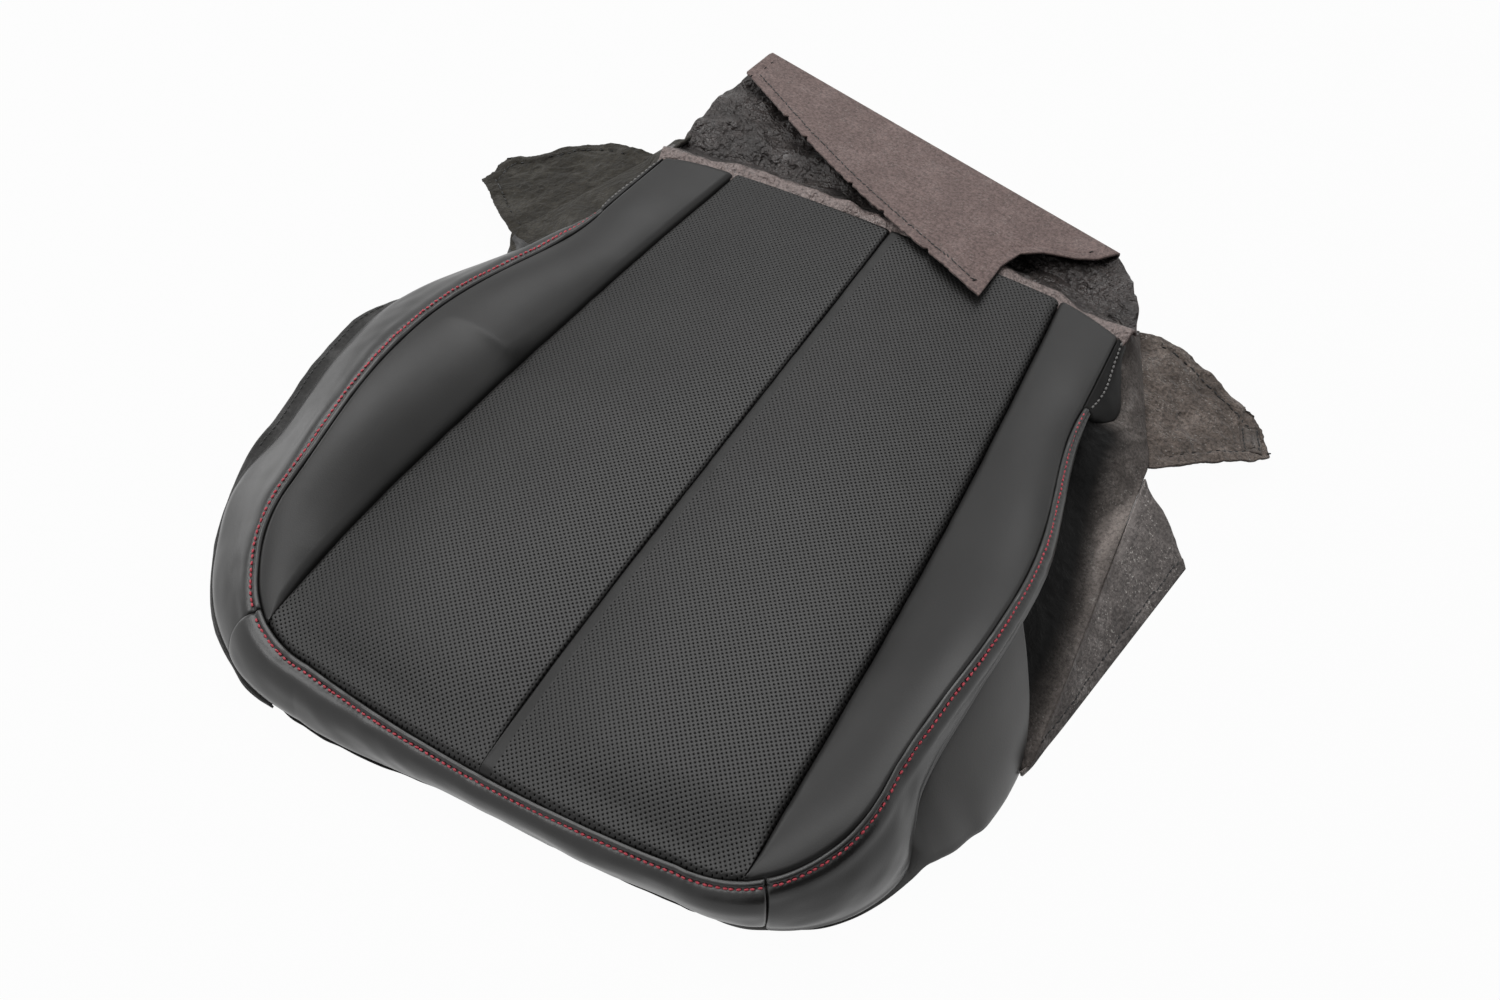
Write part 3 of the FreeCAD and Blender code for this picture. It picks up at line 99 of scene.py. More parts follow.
def curve(places, values, at):
    """Smooth values through given ones, without overshoot."""
    places, values = np.asarray(places, float), np.asarray(values, float)
    rises = np.diff(values) / np.diff(places)
    product, total = rises[:-1] * rises[1:], rises[:-1] + rises[1:]
    inner = np.divide(2 * product, total, out=np.zeros_like(total), where=product > 0)
    slopes = np.concatenate([rises[:1], inner, rises[-1:]])
    return with_slopes(places, values, slopes, np.clip(at, places[0], places[-1]))


def lengths_along(points):
    """Length of a run of straight lines up to each of its points."""
    steps = np.linalg.norm(np.diff(points, axis=0), axis=1)
    return np.concatenate([[0], np.cumsum(np.maximum(steps, 1e-6))])


def through(points, count):
    """Smooth line of count places through the given points; what follows x, y and z goes along."""
    points = np.asarray(points, float)
    places = lengths_along(points[:, :3])
    slopes = np.gradient(points, places, axis=0)
    return with_slopes(places, points, slopes, np.linspace(0, places[-1], count))


def bell(distance, width):
    return np.exp(-((distance / width) ** 2))


def noise(p, q, seed=0):
    """Smooth noise from -1 to 1 with features of about one unit."""
    p, q = np.broadcast_arrays(p, q)
    whole_p, whole_q = np.floor(p), np.floor(q)
    part_p, part_q = ease(p - whole_p), ease(q - whole_q)

    def corner(step_p, step_q):
        value = np.sin((whole_p + step_p) * 127.1 + (whole_q + step_q) * 311.7 + seed * 74.7) * 4375.85
        return value - np.floor(value)

    near = corner(0, 0) * (1 - part_p) + corner(1, 0) * part_p
    far = corner(0, 1) * (1 - part_p) + corner(1, 1) * part_p
    return 2 * (near * (1 - part_q) + far * part_q) - 1


def crumple(p, q, seed):
    """Sharp folds of three sizes in crossing directions, from about -1 to 1."""
    total = 0.0
    for number, (size, angle) in enumerate([(1.0, 0.4), (0.55, 1.7), (0.3, 2.7)]):
        along = (p * math.cos(angle) + q * math.sin(angle)) / size
        across = (q * math.cos(angle) - p * math.sin(angle)) / size
        along = along + 0.6 * noise(along * 0.7, across * 0.7, seed + 11 + number)
        total = total + size * (0.7 - 2 * np.abs(noise(along, across, seed + number)))
    return total / 1.3


def vectors(x, y, z):
    return np.stack(np.broadcast_arrays(x, y, z), axis=-1).astype(float)


def unit(values):
    return values / np.linalg.norm(values, axis=-1, keepdims=True)


def mirrored(points, side):
    return points * np.array([side, 1.0, 1.0])


# Seam lines of the leather
FRONT_Y, REAR_Y = -248.4, 231.0
FRONT_HEIGHT, FRONT_BOW = 42.0, 7.4
ROLL_RISE, ROLL_LENGTH = 12.0, 45.0
MIDDLE_HEIGHT, MIDDLE_RISE = 44.0, 23.0
DEEP_FRONT_Y, DEEP_REAR_Y = -230.0, 234.0
DEEP_FRONT_X, DEEP_REAR_X = 164.0, 127.0
DEEP_HEIGHT, DEEP_RISE = 51.0, 9.0
CORNER_X, CORNER_Y, CORNER_RADIUS, CORNER_HEIGHT = 128.0, -161.0, 80.0, 45.0
PEAK_Y, PEAK_HEIGHT = -72.0, 93.0
WIDEST_X, WIDEST_Y = 215.0, -45.0
SEAM_END_X, SEAM_END_Y, SEAM_END_HEIGHT = 182.5, 150.0, 76.0
REAR_CORNER_X, REAR_CORNER_Y = 176.0, 218.0
JOIN_ANGLE = 55.0
SEAM_GAP, PANEL_INSET = 0.15, 0.6


def front_rise(distance):
    return ROLL_RISE * (1 - np.exp(-np.maximum(distance, 0.0) / ROLL_LENGTH))


def middle_height(y):
    return MIDDLE_HEIGHT + front_rise(y - FRONT_Y) + MIDDLE_RISE * (y - FRONT_Y) / (REAR_Y - FRONT_Y)


def deep_share(y):
    return np.maximum((y - DEEP_FRONT_Y) / (DEEP_REAR_Y - DEEP_FRONT_Y), 0.0)


def deep_x(y):
    return DEEP_FRONT_X - (DEEP_FRONT_X - DEEP_REAR_X) * deep_share(y) ** 1.6


def deep_height(y):
    return DEEP_HEIGHT + front_rise(y - DEEP_FRONT_Y) + DEEP_RISE * deep_share(y)


def front_line(share):
    """Depth and height of the red seam's front stretch, at shares of the way from middle to corner."""
    return FRONT_Y + FRONT_BOW * share**2, FRONT_HEIGHT + (CORNER_HEIGHT - FRONT_HEIGHT) * share**2


def red_height(y):
    foremost = CORNER_Y - CORNER_RADIUS
    share = np.clip((y - foremost) / (PEAK_Y - foremost), 0, 1)
    rising = CORNER_HEIGHT + (PEAK_HEIGHT - CORNER_HEIGHT) * np.sin(np.pi / 2 * share)
    falling = PEAK_HEIGHT - (PEAK_HEIGHT - SEAM_END_HEIGHT) * ease((y - PEAK_Y) / (SEAM_END_Y - PEAK_Y))
    return np.where(y < PEAK_Y, rising, falling)


def side_x(y):
    corner = CORNER_X + CORNER_RADIUS
    ahead = corner + (WIDEST_X - corner) * ease((y - CORNER_Y) / (WIDEST_Y - CORNER_Y))
    behind = WIDEST_X - (WIDEST_X - SEAM_END_X) * ease((y - WIDEST_Y) / (SEAM_END_Y - WIDEST_Y)) ** 1.5
    rear = SEAM_END_X - (SEAM_END_X - REAR_CORNER_X) * (y - SEAM_END_Y) / (REAR_CORNER_Y - SEAM_END_Y)
    return np.where(y > SEAM_END_Y, rear, np.where(y > WIDEST_Y, behind, ahead))


def corner_run(angle):
    return -CORNER_Y + CORNER_RADIUS * math.radians(angle)


def red_seam(run):
    """Points of the right-hand red seam and its level outward directions.

    The run is minus y along the side, and goes on as arc length round the front corner.
    """
    run = np.asarray(run, float)
    angle = np.clip((run + CORNER_Y) / CORNER_RADIUS, 0, None)
    straight = run + CORNER_Y <= 0
    y = np.where(straight, -run, CORNER_Y - CORNER_RADIUS * np.sin(angle))
    x = np.where(straight, side_x(y), CORNER_X + CORNER_RADIUS * np.cos(angle))
    slope = side_x(y + 0.5) - side_x(y - 0.5)
    out_x = np.where(straight, 1.0, np.cos(angle))
    out_y = np.where(straight, -slope, -np.sin(angle))
    return vectors(x, y, red_height(y)), unit(vectors(out_x, out_y, 0 * x))


def left_inset(y):
    """How much further in the red seam lies on the left than on the right."""
    return 5.5 * bell(y + 120, 100) * ease((y + 235) / 30)


def side_seam(side, run):
    seam, outward = red_seam(run)
    if side == RIGHT:
        return seam, outward
    seam = seam - outward * left_inset(seam[..., 1:2])
    return mirrored(seam, side), mirrored(outward, side)


def front_seam(place):
    """Points and outward directions of the red seam along the front, and on round the corners."""
    place = np.asarray(place, float)
    share = np.clip(place / CORNER_X, -1, 1)
    past = np.abs(place) - CORNER_X
    side = vectors(np.where(place < 0, -1.0, 1.0), 1.0, 1.0)
    round_points, round_out = red_seam(corner_run(90) - np.maximum(past, 0.0))
    flat = vectors(place, *front_line(share))
    lean = 2 * FRONT_BOW * share / CORNER_X * (1 - ease((np.abs(place) - 96) / 32))
    flat_out = unit(vectors(lean, -1, 0))
    is_round = (past > 0)[..., None]
    return np.where(is_round, round_points * side, flat), np.where(is_round, round_out * side, flat_out)


# Making of meshes
def choose(piece):
    bpy.ops.object.select_all(action="DESELECT")
    piece.select_set(True)
    bpy.context.view_layer.objects.active = piece


def lay(name, points, thickness, facing):
    """Sheet over rows and columns of points, with its face on the given side."""
    points = np.asarray(points, float)
    across = points[1:, 1:] - points[:-1, :-1]
    along = points[:-1, 1:] - points[1:, :-1]
    if np.sum(np.cross(along, across) @ np.array(facing, float)) < 0:
        points = points[:, ::-1]
    rows, columns = points.shape[:2]
    bpy.ops.mesh.primitive_grid_add(x_subdivisions=columns - 1, y_subdivisions=rows - 1, size=1)
    piece = bpy.context.object
    piece.name = name
    piece.data.name = name
    start = np.empty(len(piece.data.vertices) * 3)
    piece.data.vertices.foreach_get("co", start)
    start = start.reshape(-1, 3) + 0.5
    column = np.rint(start[:, 0] * (columns - 1)).astype(int)
    row = np.rint(start[:, 1] * (rows - 1)).astype(int)
    piece.data.vertices.foreach_set("co", (points[row, column] * MM).ravel())
    piece.data.update()
    choose(piece)
    wall = piece.modifiers.new("wall", "SOLIDIFY")
    wall.thickness = thickness * MM
    wall.offset = -1
    bpy.ops.object.modifier_apply(modifier=wall.name)
    bpy.ops.object.shade_smooth()
    return piece


def own(piece, body, material, nodes=()):
    """Gives a piece its body, where it rides on one, its material, and the nodes that it stands for."""
    if body:
        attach(piece, body)
    piece.data.materials.clear()
    piece.data.materials.append(material)
    if nodes:
        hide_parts(*nodes)
    return piece


def normals(points, up=None):
    """Unit normals of a sheet's points, on the side of a direction where one is given."""
    normal = unit(np.cross(np.gradient(points, axis=1), np.gradient(points, axis=0)))
    if up is None:
        return normal
    return normal * np.where(normal @ np.asarray(up, float) < 0, -1.0, 1.0)[..., None]


def edge_turn(distance, radius):
    """How far a surface has turned down at a distance from its seam."""
    inside = np.clip(radius - distance, 0, radius)
    return radius - np.sqrt(np.maximum(radius**2 - inside**2, 0))


def edge_places(width, start_radius, end_radius, count):
    """Distances across a panel, close together where its edges turn down."""
    turn = 1 - np.cos(np.linspace(0, np.pi / 2, 9))
    start = start_radius[..., None] * turn
    end = width[..., None] - end_radius[..., None] * turn[::-1]
    inner = start[..., -1:] + (end[..., :1] - start[..., -1:]) * np.linspace(0, 1, count)[1:-1]
    return np.concatenate([start, inner, end], axis=-1)


def front_edge(x):
    """Depth and height of the red seam along the front at a distance from the middle."""
    past = np.clip(np.abs(x) - CORNER_X, 0, CORNER_RADIUS)
    flat_y, flat_height = front_line(np.minimum(np.abs(x) / CORNER_X, 1))
    y = np.where(past > 0, CORNER_Y - np.sqrt(CORNER_RADIUS**2 - past**2), flat_y)
    return y, np.where(past > 0, red_height(y), flat_height)


# Middle panels
MIDDLE_RADIUS, DEEP_RADIUS, EDGE_RADIUS = 2.8, 5.0, 2.8
HIDDEN_DEPTH = 5.0


def insert_points(side):
    share = np.concatenate([[0, 0.0006, 0.0016, 0.003, 0.005, 0.008, 0.0115], np.linspace(0.016, 1, 260)])
    front_limit = float(deep_x(DEEP_FRONT_Y))
    width = front_limit - 2 * SEAM_GAP + 0 * share
    across = edge_places(width, MIDDLE_RADIUS + 0 * share, DEEP_RADIUS + 0 * share, 64)
    fraction = across / width[:, None]
    front_y = front_edge(fraction * front_limit)[0] + PANEL_INSET
    y = front_y + share[:, None] * (REAR_Y + (DEEP_REAR_Y - REAR_Y) * fraction - front_y)
    limit = deep_x(y)
    x = SEAM_GAP + fraction * (limit - 2 * SEAM_GAP)
    crown = between([(0, 5.5), (0.5, 4.5), (1, 1.2)], share)[:, None]
    lift = crown * (1 - np.abs(2 * fraction - 1) ** 2.4)
    lift = lift - edge_turn(x - SEAM_GAP, MIDDLE_RADIUS) - edge_turn(limit - SEAM_GAP - x, DEEP_RADIUS)
    lift = lift - edge_turn(y - front_y, 5.0)
    lift = lift + 0.45 * np.exp((x - limit) / 9) * noise(y / 11, x / 30, 3 + side)
    lift = lift + 0.3 * np.exp(-x / 6) * noise(y / 8, x / 20, 7)
    lift = lift + 0.5 * noise(x / 60, y / 75, 11 + side) + 0.12 * noise(x / 16, y / 19, 5)
    z = middle_height(y) + (deep_height(y) - middle_height(y)) * fraction + lift
    seam_z = front_edge(x[:1])[1] - 2.5
    z = z - (z[:1] - seam_z) * (1 - ease((y - front_y) / ROLL_LENGTH))
    z[:, 0] -= 3.5
    z[:, -1] -= HIDDEN_DEPTH
    z[0, :] -= 4.0
    x[:, 0] -= 0.4
    x[:, -1] += 0.4
    y[0, :] -= 1.0
    return mirrored(vectors(x, y, z), side)


# Side panels
TIP_RUN = corner_run(63)


def left_dimple(fraction, y):
    """Soft ridge that runs outward from the left deep seam, steeper on its front side."""
    behind = y - (6 - 6 * fraction)
    rounded = np.sqrt(behind**2 + 4) - 2
    full = np.exp(-rounded / np.where(behind > 0, 26, 7))
    return 5.0 * full * np.maximum(1 - fraction / 0.9, 0) * ease(fraction / 0.12)


def bolster_points(side):
    share = np.linspace(0, 1, 250)
    seam, outward = red_seam(TIP_RUN + (PANEL_INSET - REAR_CORNER_Y - TIP_RUN) * share)
    seam = seam - outward * (0.1 + (left_inset(seam[:, 1:2]) if side == LEFT else 0))
    y = DEEP_FRONT_Y - 1.5 + (DEEP_REAR_Y - DEEP_FRONT_Y + 1.5) * share**1.03
    start = vectors(deep_x(y) + SEAM_GAP, y, deep_height(y))
    line = seam - start
    width = np.maximum(np.hypot(line[:, 0], line[:, 1]), 1.0)
    inner = np.minimum(DEEP_RADIUS, 0.3 * width)
    outer = np.minimum(EDGE_RADIUS, 0.3 * width)
    across = edge_places(width, inner, outer, 44)
    fraction = across / width[:, None]
    points = start[:, None, :] + line[:, None, :] * fraction[..., None]
    crown = between([(0, 0.3), (0.12, 4), (0.35, 6.5), (0.62, 6.5), (0.85, 4), (1, 2)], share)[:, None]
    lift = crown * (1 - np.abs(2 * fraction - 1) ** 2.2)
    lift = lift - edge_turn(across, inner[:, None]) - edge_turn(width[:, None] - across, outer[:, None])
    plan_y = points[..., 1]
    lift = lift + 0.5 * np.exp(-across / 9) * noise(plan_y / 12, across / 30, 21 + side)
    lift = lift + 0.9 * noise(across / 45, plan_y / 60, 15 + side) * np.minimum(1, width / 40)[:, None]
    if side == LEFT:
        lift = lift + left_dimple(fraction, plan_y)
    points[..., 2] += lift
    points[:, 0] -= [0.4, 0, HIDDEN_DEPTH]
    points[:, -1] += outward * 0.4 - UP * HIDDEN_DEPTH
    return mirrored(points, side)


# Borders: reach outward from the seam, height of the lower edge and bulge at places along the seam
SIDE_PLACES = [-150, -100, 20, 118, 161, corner_run(22), corner_run(JOIN_ANGLE)]
RIGHT_PLACES = [-150, -100, 20, 60, 90, 118, 136, 150, 161, corner_run(22), corner_run(JOIN_ANGLE)]
FRONT_JOIN = CORNER_X + corner_run(90) - corner_run(JOIN_ANGLE)
FRONT_PLACES = [-FRONT_JOIN, -128, 0, 128, FRONT_JOIN]
BORDER_MEASURES = {
    LEFT: (SIDE_PLACES, [4, 20, 40, 34, 42, 37, 25], [68, 64, 73, 67, 52, 28, 12], [1.5, 4, 4, 4, 5, 7, 9]),
    FRONT: (FRONT_PLACES, [25, 15, -1, -1, 5], [12, 1.7, 1.7, 1.7, 7], [9, 9, 8, 8, 8]),
    RIGHT: (
        RIGHT_PLACES,
        [4.5, 6, 7, 7, 8, 9, 10, 15, 18, 14, 5],
        [70, 65, 76, 74, 68, 59, 46, 16, 6, 4, 5],
        [1.5, 2.5, 3, 3, 3.5, 4, 5, 6, 7, 8, 8],
    ),
}
WALL_FOOT_PLACES = [14, 100, 118, 161, corner_run(22), corner_run(JOIN_ANGLE)]
WALL_FOOT_REACH = list(zip(WALL_FOOT_PLACES, [37, 38.7, 36.2, 22.3, 14, 4]))


def border_profile(side, run):
    """Top and lower edge, outward direction and bulge of a border."""
    seam, outward = front_seam(run) if side == FRONT else side_seam(side, run)
    places, *measures = BORDER_MEASURES[side]
    if side == FRONT:
        reach, low, bulge = (between(list(zip(places, values)), run) for values in measures)
    else:
        reach, low, bulge = (curve(places, values, run) for values in measures)
    if side == LEFT:
        reach = reach + left_inset(seam[:, 1])
    bottom = seam + outward * reach[:, None]
    bottom[:, 2] = low
    return seam + outward * 0.1, bottom, outward, bulge


def wall_surface(top, bottom, outward, bulge, shares):
    """Points and normals on bulged walls, at shares of the way down, and the walls' lengths."""
    chord = bottom - top
    length = np.linalg.norm(chord, axis=-1)
    along = unit(chord)
    across = unit(outward - along * np.sum(outward * along, axis=-1, keepdims=True))
    radius = (length**2 / 4 + bulge**2) / (2 * bulge)
    centre = (top + bottom) / 2 + across * (bulge - radius)[:, None]
    half = np.arcsin(np.clip(length / 2 / radius, -1, 1))
    angle = ((2 * shares - 1) * half[:, None])[..., None]
    normal = across[:, None] * np.cos(angle) + along[:, None] * np.sin(angle)
    return centre[:, None] + normal * radius[:, None, None], normal, 2 * half * radius


STITCH_INSET, STITCH_PITCH = 5.0, 4.0
NEAR_SEAM = np.array([0, 0.4, 0.9, 1.5, 2.2, 2.9, 3.6, 4.2, 4.6, 5.0, 5.4, 5.8, 6.5, 7.5, 8.8, 10.2, 12])


def border_lift(distance, run, seed):
    """Turned edge, stitch line, fullness beside it and gathers."""
    lift = 0.5 * bell(distance - 2.6, 1.6) - edge_turn(distance, 2.2)
    pinch = 0.75 + 0.25 * np.cos(2 * np.pi * run / STITCH_PITCH)
    lift = lift - 0.9 * pinch * bell(distance - STITCH_INSET, 1.1) + 0.9 * bell(distance - 10.5, 4.5)
    fade = np.exp(-np.maximum(distance - STITCH_INSET, 0) / 7)
    gathers = 0.3 * noise(run / 7, distance / 16, seed) + 0.5 * noise(run / 19, distance / 30, seed + 1)
    return lift + fade * gathers


def border_points(side, start, end, rows):
    tail = end - 2.4 * np.array([0.8, 0.6, 0.4, 0.25, 0.12, 0.05, 0])
    run = np.concatenate([np.linspace(start, end - 2.6, rows), tail])
    if side == FRONT:
        run = np.concatenate([start + (end - tail[::-1]), run[run > start + 2.5]])
    profile = border_profile(side, run)
    length = wall_surface(*profile, np.zeros((len(run), 1)))[2]
    near = NEAR_SEAM * np.minimum(1, length / 22)[:, None]
    rest = near[:, -1:] + (length[:, None] - near[:, -1:]) * np.linspace(0, 1, 34)[1:]
    distance = np.concatenate([near, rest], axis=1)
    points, normal, _ = wall_surface(*profile, distance / length[:, None])
    seed = 31 + 7 * side
    below = length[:, None] - distance
    room = ease(below / 12) * ease(distance / 14)
    run = run[:, None]
    waves = 0.4 if side == RIGHT else 1.1
    lift = border_lift(distance, run, seed) + waves * room * noise(run / 38, distance / 26, seed + 3)
    lift = lift + 0.35 * room * noise(run / 13, distance / 9, seed + 4) - edge_turn(below, 2.5)
    lift = lift - edge_turn(end - run, 2.2) - HIDDEN_DEPTH * (run == end)
    if side == FRONT:
        lift = lift - edge_turn(run - start, 2.2) - HIDDEN_DEPTH * (run == start)
        lift = lift + 2.2 * bell(distance - 16, 9) * ease(distance / 10) * ease(below / 10)
    if side == RIGHT:
        lift = lift + 1.1 * bell(below - 2.2, 1.7) * ease(distance / 10) * ease((run + 80) / 80)
    points = points + normal * lift[..., None]
    points[:, 0] -= profile[2] * 0.5 + UP * HIDDEN_DEPTH
    return points


def border_stitches(side, start, end):
    """Places, directions and normals of the red stitches along a border."""
    run = np.arange(start, end, 1.0)
    profile = border_profile(side, run)
    length = wall_surface(*profile, np.zeros((len(run), 1)))[2]
    inset = STITCH_INSET * np.minimum(1, length / 22)
    points, normal, _ = wall_surface(*profile, (inset / length)[:, None])
    lift = border_lift(STITCH_INSET, run, 31 + 7 * side)
    return spaced(points[:, 0] + normal[:, 0] * (lift + 0.6)[:, None], normal[:, 0], STITCH_PITCH)


def spaced(line, normal, pitch):
    """Places, directions and normals at equal steps along a line."""
    places = lengths_along(line)
    at = np.arange(pitch, places[-1] - pitch / 2, pitch)
    index = np.clip(np.searchsorted(places, at), 1, len(line) - 1)
    return line[index], line[index] - line[index - 1], normal[index]


def stitch_row(name, row, body, material, nodes=(), length=3.0, radius=0.75):
    """One stitch, shaped once and copied along a seam."""
    bpy.ops.mesh.primitive_uv_sphere_add(segments=8, ring_count=6, radius=1)
    first = bpy.context.object
    first.data.transform(Matrix.Scale(MM, 4) @ Matrix.Diagonal((length / 2, radius, radius, 1)))
    copies = []
    for place, direction, up in zip(*row):
        along = Vector(direction).normalized()
        side = Vector(up).cross(along).normalized()
        turn = Matrix((along, side, along.cross(side))).transposed().to_4x4()
        piece = first.copy()
        piece.data = first.data.copy()
        piece.data.transform(Matrix.Translation(Vector(place) * MM) @ turn)
        bpy.context.collection.objects.link(piece)
        copies.append(piece)
    bpy.data.objects.remove(first)
    choose(copies[0])
    for piece in copies:
        piece.select_set(True)
    bpy.ops.object.join()
    whole = copies[0]
    whole.name = name
    whole.data.name = name
    bpy.ops.object.shade_smooth()
    return own(whole, body, material, nodes)


# Walls and cloths below the leather; each line holds top, foot, outward direction and bulge
RECESS, EDGE_GAP = 14, 1.2


def lower_edge(side, run):
    """Point on a border's lower edge, and the outward direction there."""
    _, bottom, outward, _ = border_profile(side, np.array([float(run)]))
    return bottom[0], outward[0]


def in_recess(y):
    """Share of the recess below a side border: from 0 at its two ends to 1 between them."""
    return ease((SEAM_END_Y - y) / 50) * ease((y + 40) / 50)


def below(side, y):
    """Where a wall or cloth starts, below the lower edge of a border or a gusset."""
    if y > SEAM_END_Y:
        return gusset(side, y)[1][0] - UP * EDGE_GAP
    bottom, outward = lower_edge(side, -y)
    return bottom - UP * EDGE_GAP - outward * RECESS * in_recess(y)


def gusset(side, y):
    """Top and lower edge, outward direction and bulge of a rear gusset, as border_profile gives them."""
    y = np.atleast_1d(np.asarray(y, float))
    seam, outward = side_seam(side, -y)
    share = np.clip((y - SEAM_END_Y) / (REAR_CORNER_Y - SEAM_END_Y), 0, 1)
    middle = np.sin(np.pi * (1 - (1 - share) ** 1.6))
    bottom = seam + outward * (5 + 13 * middle)[:, None]
    bottom[:, 2] = 65 - 11 * middle
    return seam + outward * 0.35, bottom, outward, 2.5 + 0 * y


def line(top, foot, outward, bulge):
    return np.concatenate([top, foot, outward, [bulge]])


def wall_from_lines(lines, rows, shares, step):
    """Wall through some of its lines: points, normals, lengths, distances down and places along it."""
    full = through(lines, rows)
    top, foot, outward, bulge = full[:, :3], full[:, 3:6], full[:, 6:9], full[:, 9]
    bulge = np.where(np.abs(bulge) < 0.3, 0.3, bulge)
    shares = np.broadcast_to(shares, (rows, len(shares)))
    points, normal, length = wall_surface(top, foot, unit(outward), bulge, shares)
    return points, normal, length[:, None], shares * length[:, None], np.arange(rows)[:, None] * step


def tucked(points, normal, up=4.0, inside=2.6):
    """The same wall with its upper edge carried on behind the piece above it."""
    edge = points[:, :1] + UP * up - normal[:, :1] * inside
    return np.concatenate([edge, points], axis=1)


def turned_in(points, normal):
    """The same wall with its lower edge carried on behind the piece below it."""
    edge = points[:, -1:] - UP * 3 - normal[:, -1:] * 2.2
    return np.concatenate([points, edge], axis=1)


# Folds of the two tabs, the walls' feet, and places on the front border between its corner and its seam
LEFT_FOLD_START, LEFT_FOLD_WAY = np.array([-250.0, 130.0, 39.0]), np.array([45.0, 135.0, 0.0])
RIGHT_FOLD_START, RIGHT_FOLD_WAY = np.array([228.0, 162.0, 35.0]), np.array([-54.0, 110.0, 0.0])
TAB_FALL = math.radians(15)
LEFT_FOOT_X, FOOT_HEIGHT = -261, 0.3
FRONT_CORNER_PLACES = (147.6, 157, 167)


def left_fold(share):
    return LEFT_FOLD_START + LEFT_FOLD_WAY * share


def right_fold(share):
    return RIGHT_FOLD_START + RIGHT_FOLD_WAY * share


SKIRT_PLACES = np.array([[253.5, -63, 4], [250, -8, 20], [230, 150, 35]])
SKIRT_BEND = 0.25


def skirt_fold(share):
    front, ridge, rear = SKIRT_PLACES
    if share < SKIRT_BEND:
        return front + (ridge - front) * (share / SKIRT_BEND)
    return ridge + (rear - ridge) * ((share - SKIRT_BEND) / (1 - SKIRT_BEND))


def wall_tops(side, runs):
    """Upper edge of a wall, from the front border's corner stretch back along the side, with its run."""
    runs = [corner_run(JOIN_ANGLE * share) for share in (1, 0.85, 0.65, 0.44, 0.22)] + runs
    places = [(FRONT, side * place, corner_run(90)) for place in FRONT_CORNER_PLACES]
    for border, place, run in places + [(side, run, run) for run in runs]:
        bottom, outward = lower_edge(border, place)
        yield run, bottom - UP, outward


def left_wall_lines():
    lines = []
    for run, top, outward in wall_tops(LEFT, [161, 140, 118, 90, 60, 20, -20, -50, -75, -95]):
        share = top[2] / 73
        foot = top + outward * 5 * share if run > 0 else np.array([LEFT_FOOT_X, top[1], 0])
        foot[2] = FOOT_HEIGHT
        lines.append(line(top, foot, outward, 11 * share))
    corner = lines[-1][:3]
    for share in (-0.12, 0.0, 0.25, 0.5, 0.75, 1.0):
        top = left_fold(max(share, 0.0)) + np.array([1, 0, -2.1])
        if share < 0:
            top = (corner + top) / 2
        foot = np.array([LEFT_FOOT_X + LEFT_FOLD_WAY[0] * max(share, 0.0), top[1], FOOT_HEIGHT])
        lines.append(line(top, foot, [-1, 0, 0], 1))
    return lines


def right_wall_lines():
    lines = []
    for run, top, outward in wall_tops(RIGHT, [161, 150, 140, 129, 118, 98, 76, 54, 34, 14]):
        if run < corner_run(90):
            foot = red_seam(run)[0] + outward * between(WALL_FOOT_REACH, run)
            foot[1] -= 51 * max((118 - run) / 104, 0.0)
        else:
            foot = top - outward
        foot[2] = FOOT_HEIGHT
        lines.append(line(top - outward * 3, foot, outward, 3.5 * top[2] / 60))
    return lines


def band_start(place):
    """Points where the rear band leaves the leather; place runs from -1 at the left to 1 at the right."""
    half = np.abs(place) * BAND_HALF_WIDTH
    middle, deep = middle_height(REAR_Y), deep_height(DEEP_REAR_Y)
    share = half / DEEP_REAR_X
    near = vectors(half, REAR_Y + (DEEP_REAR_Y - REAR_Y) * share, middle + (deep - middle) * share)
    past = (half - DEEP_REAR_X) / (REAR_CORNER_X - DEEP_REAR_X)
    y = DEEP_REAR_Y + (REAR_CORNER_Y - DEEP_REAR_Y) * past
    far = vectors(half, y, deep + (SEAM_END_HEIGHT - deep) * past)
    points = np.where((half < DEEP_REAR_X)[..., None], near, far) * vectors(np.sign(place), 1, 1)
    return points + np.array([0, 1.2, -3.0])


def band_line(side, share, depth):
    """Where a side cloth goes along below the rear band's side edge."""
    fold = FOLD_LEFT if side == LEFT else FOLD_RIGHT
    start = band_start(np.array([float(side)]))[0]
    return start + (fold - start) * share - UP * depth


BAND_HALF_WIDTH = 180
FOLD_LEFT, FOLD_RIGHT = np.array([-181.0, 377.0, 62.0]), np.array([139.0, 305.0, 62.0])
FOLD_ALONG = unit(FOLD_LEFT - FOLD_RIGHT)
FOLD_INWARD = np.array([-FOLD_ALONG[1], FOLD_ALONG[0], 0.0])
FLAP_SLOPE = math.radians(10.5)
FLAP_OUT = FOLD_INWARD * math.cos(FLAP_SLOPE) + UP * math.sin(FLAP_SLOPE)
FLAP_UP = np.cross(FOLD_ALONG, FLAP_OUT)


def side_cloth_lines(side, tops, folds):
    lines = []
    for y, fold in zip(tops, folds):
        lines.append(line(below(side, y), fold + UP * 0.6, [side, 0, 0], 3 - 9 * in_recess(y)))
    for fold, share, depth in zip(folds[len(tops) :], (0.04, 0.25), (3.0, 5.85)):
        lines.append(line(band_line(side, share, depth), fold + UP * 0.6, [side, 0, 0], 3))
    if side == LEFT:
        behind_wall = line(below(side, 82) + [4, 0, 0], folds[0] + [6, -12, -3], [side, 0, 0], 0.5)
        lines = [behind_wall] + lines
    if side == RIGHT:
        wall = right_wall_lines()[-1]
        inside = np.array([-1.6, -3.0, 0])
        lines = [line(wall[:3] + inside, wall[3:6] + inside, wall[6:9], wall[9])] + lines
    return lines


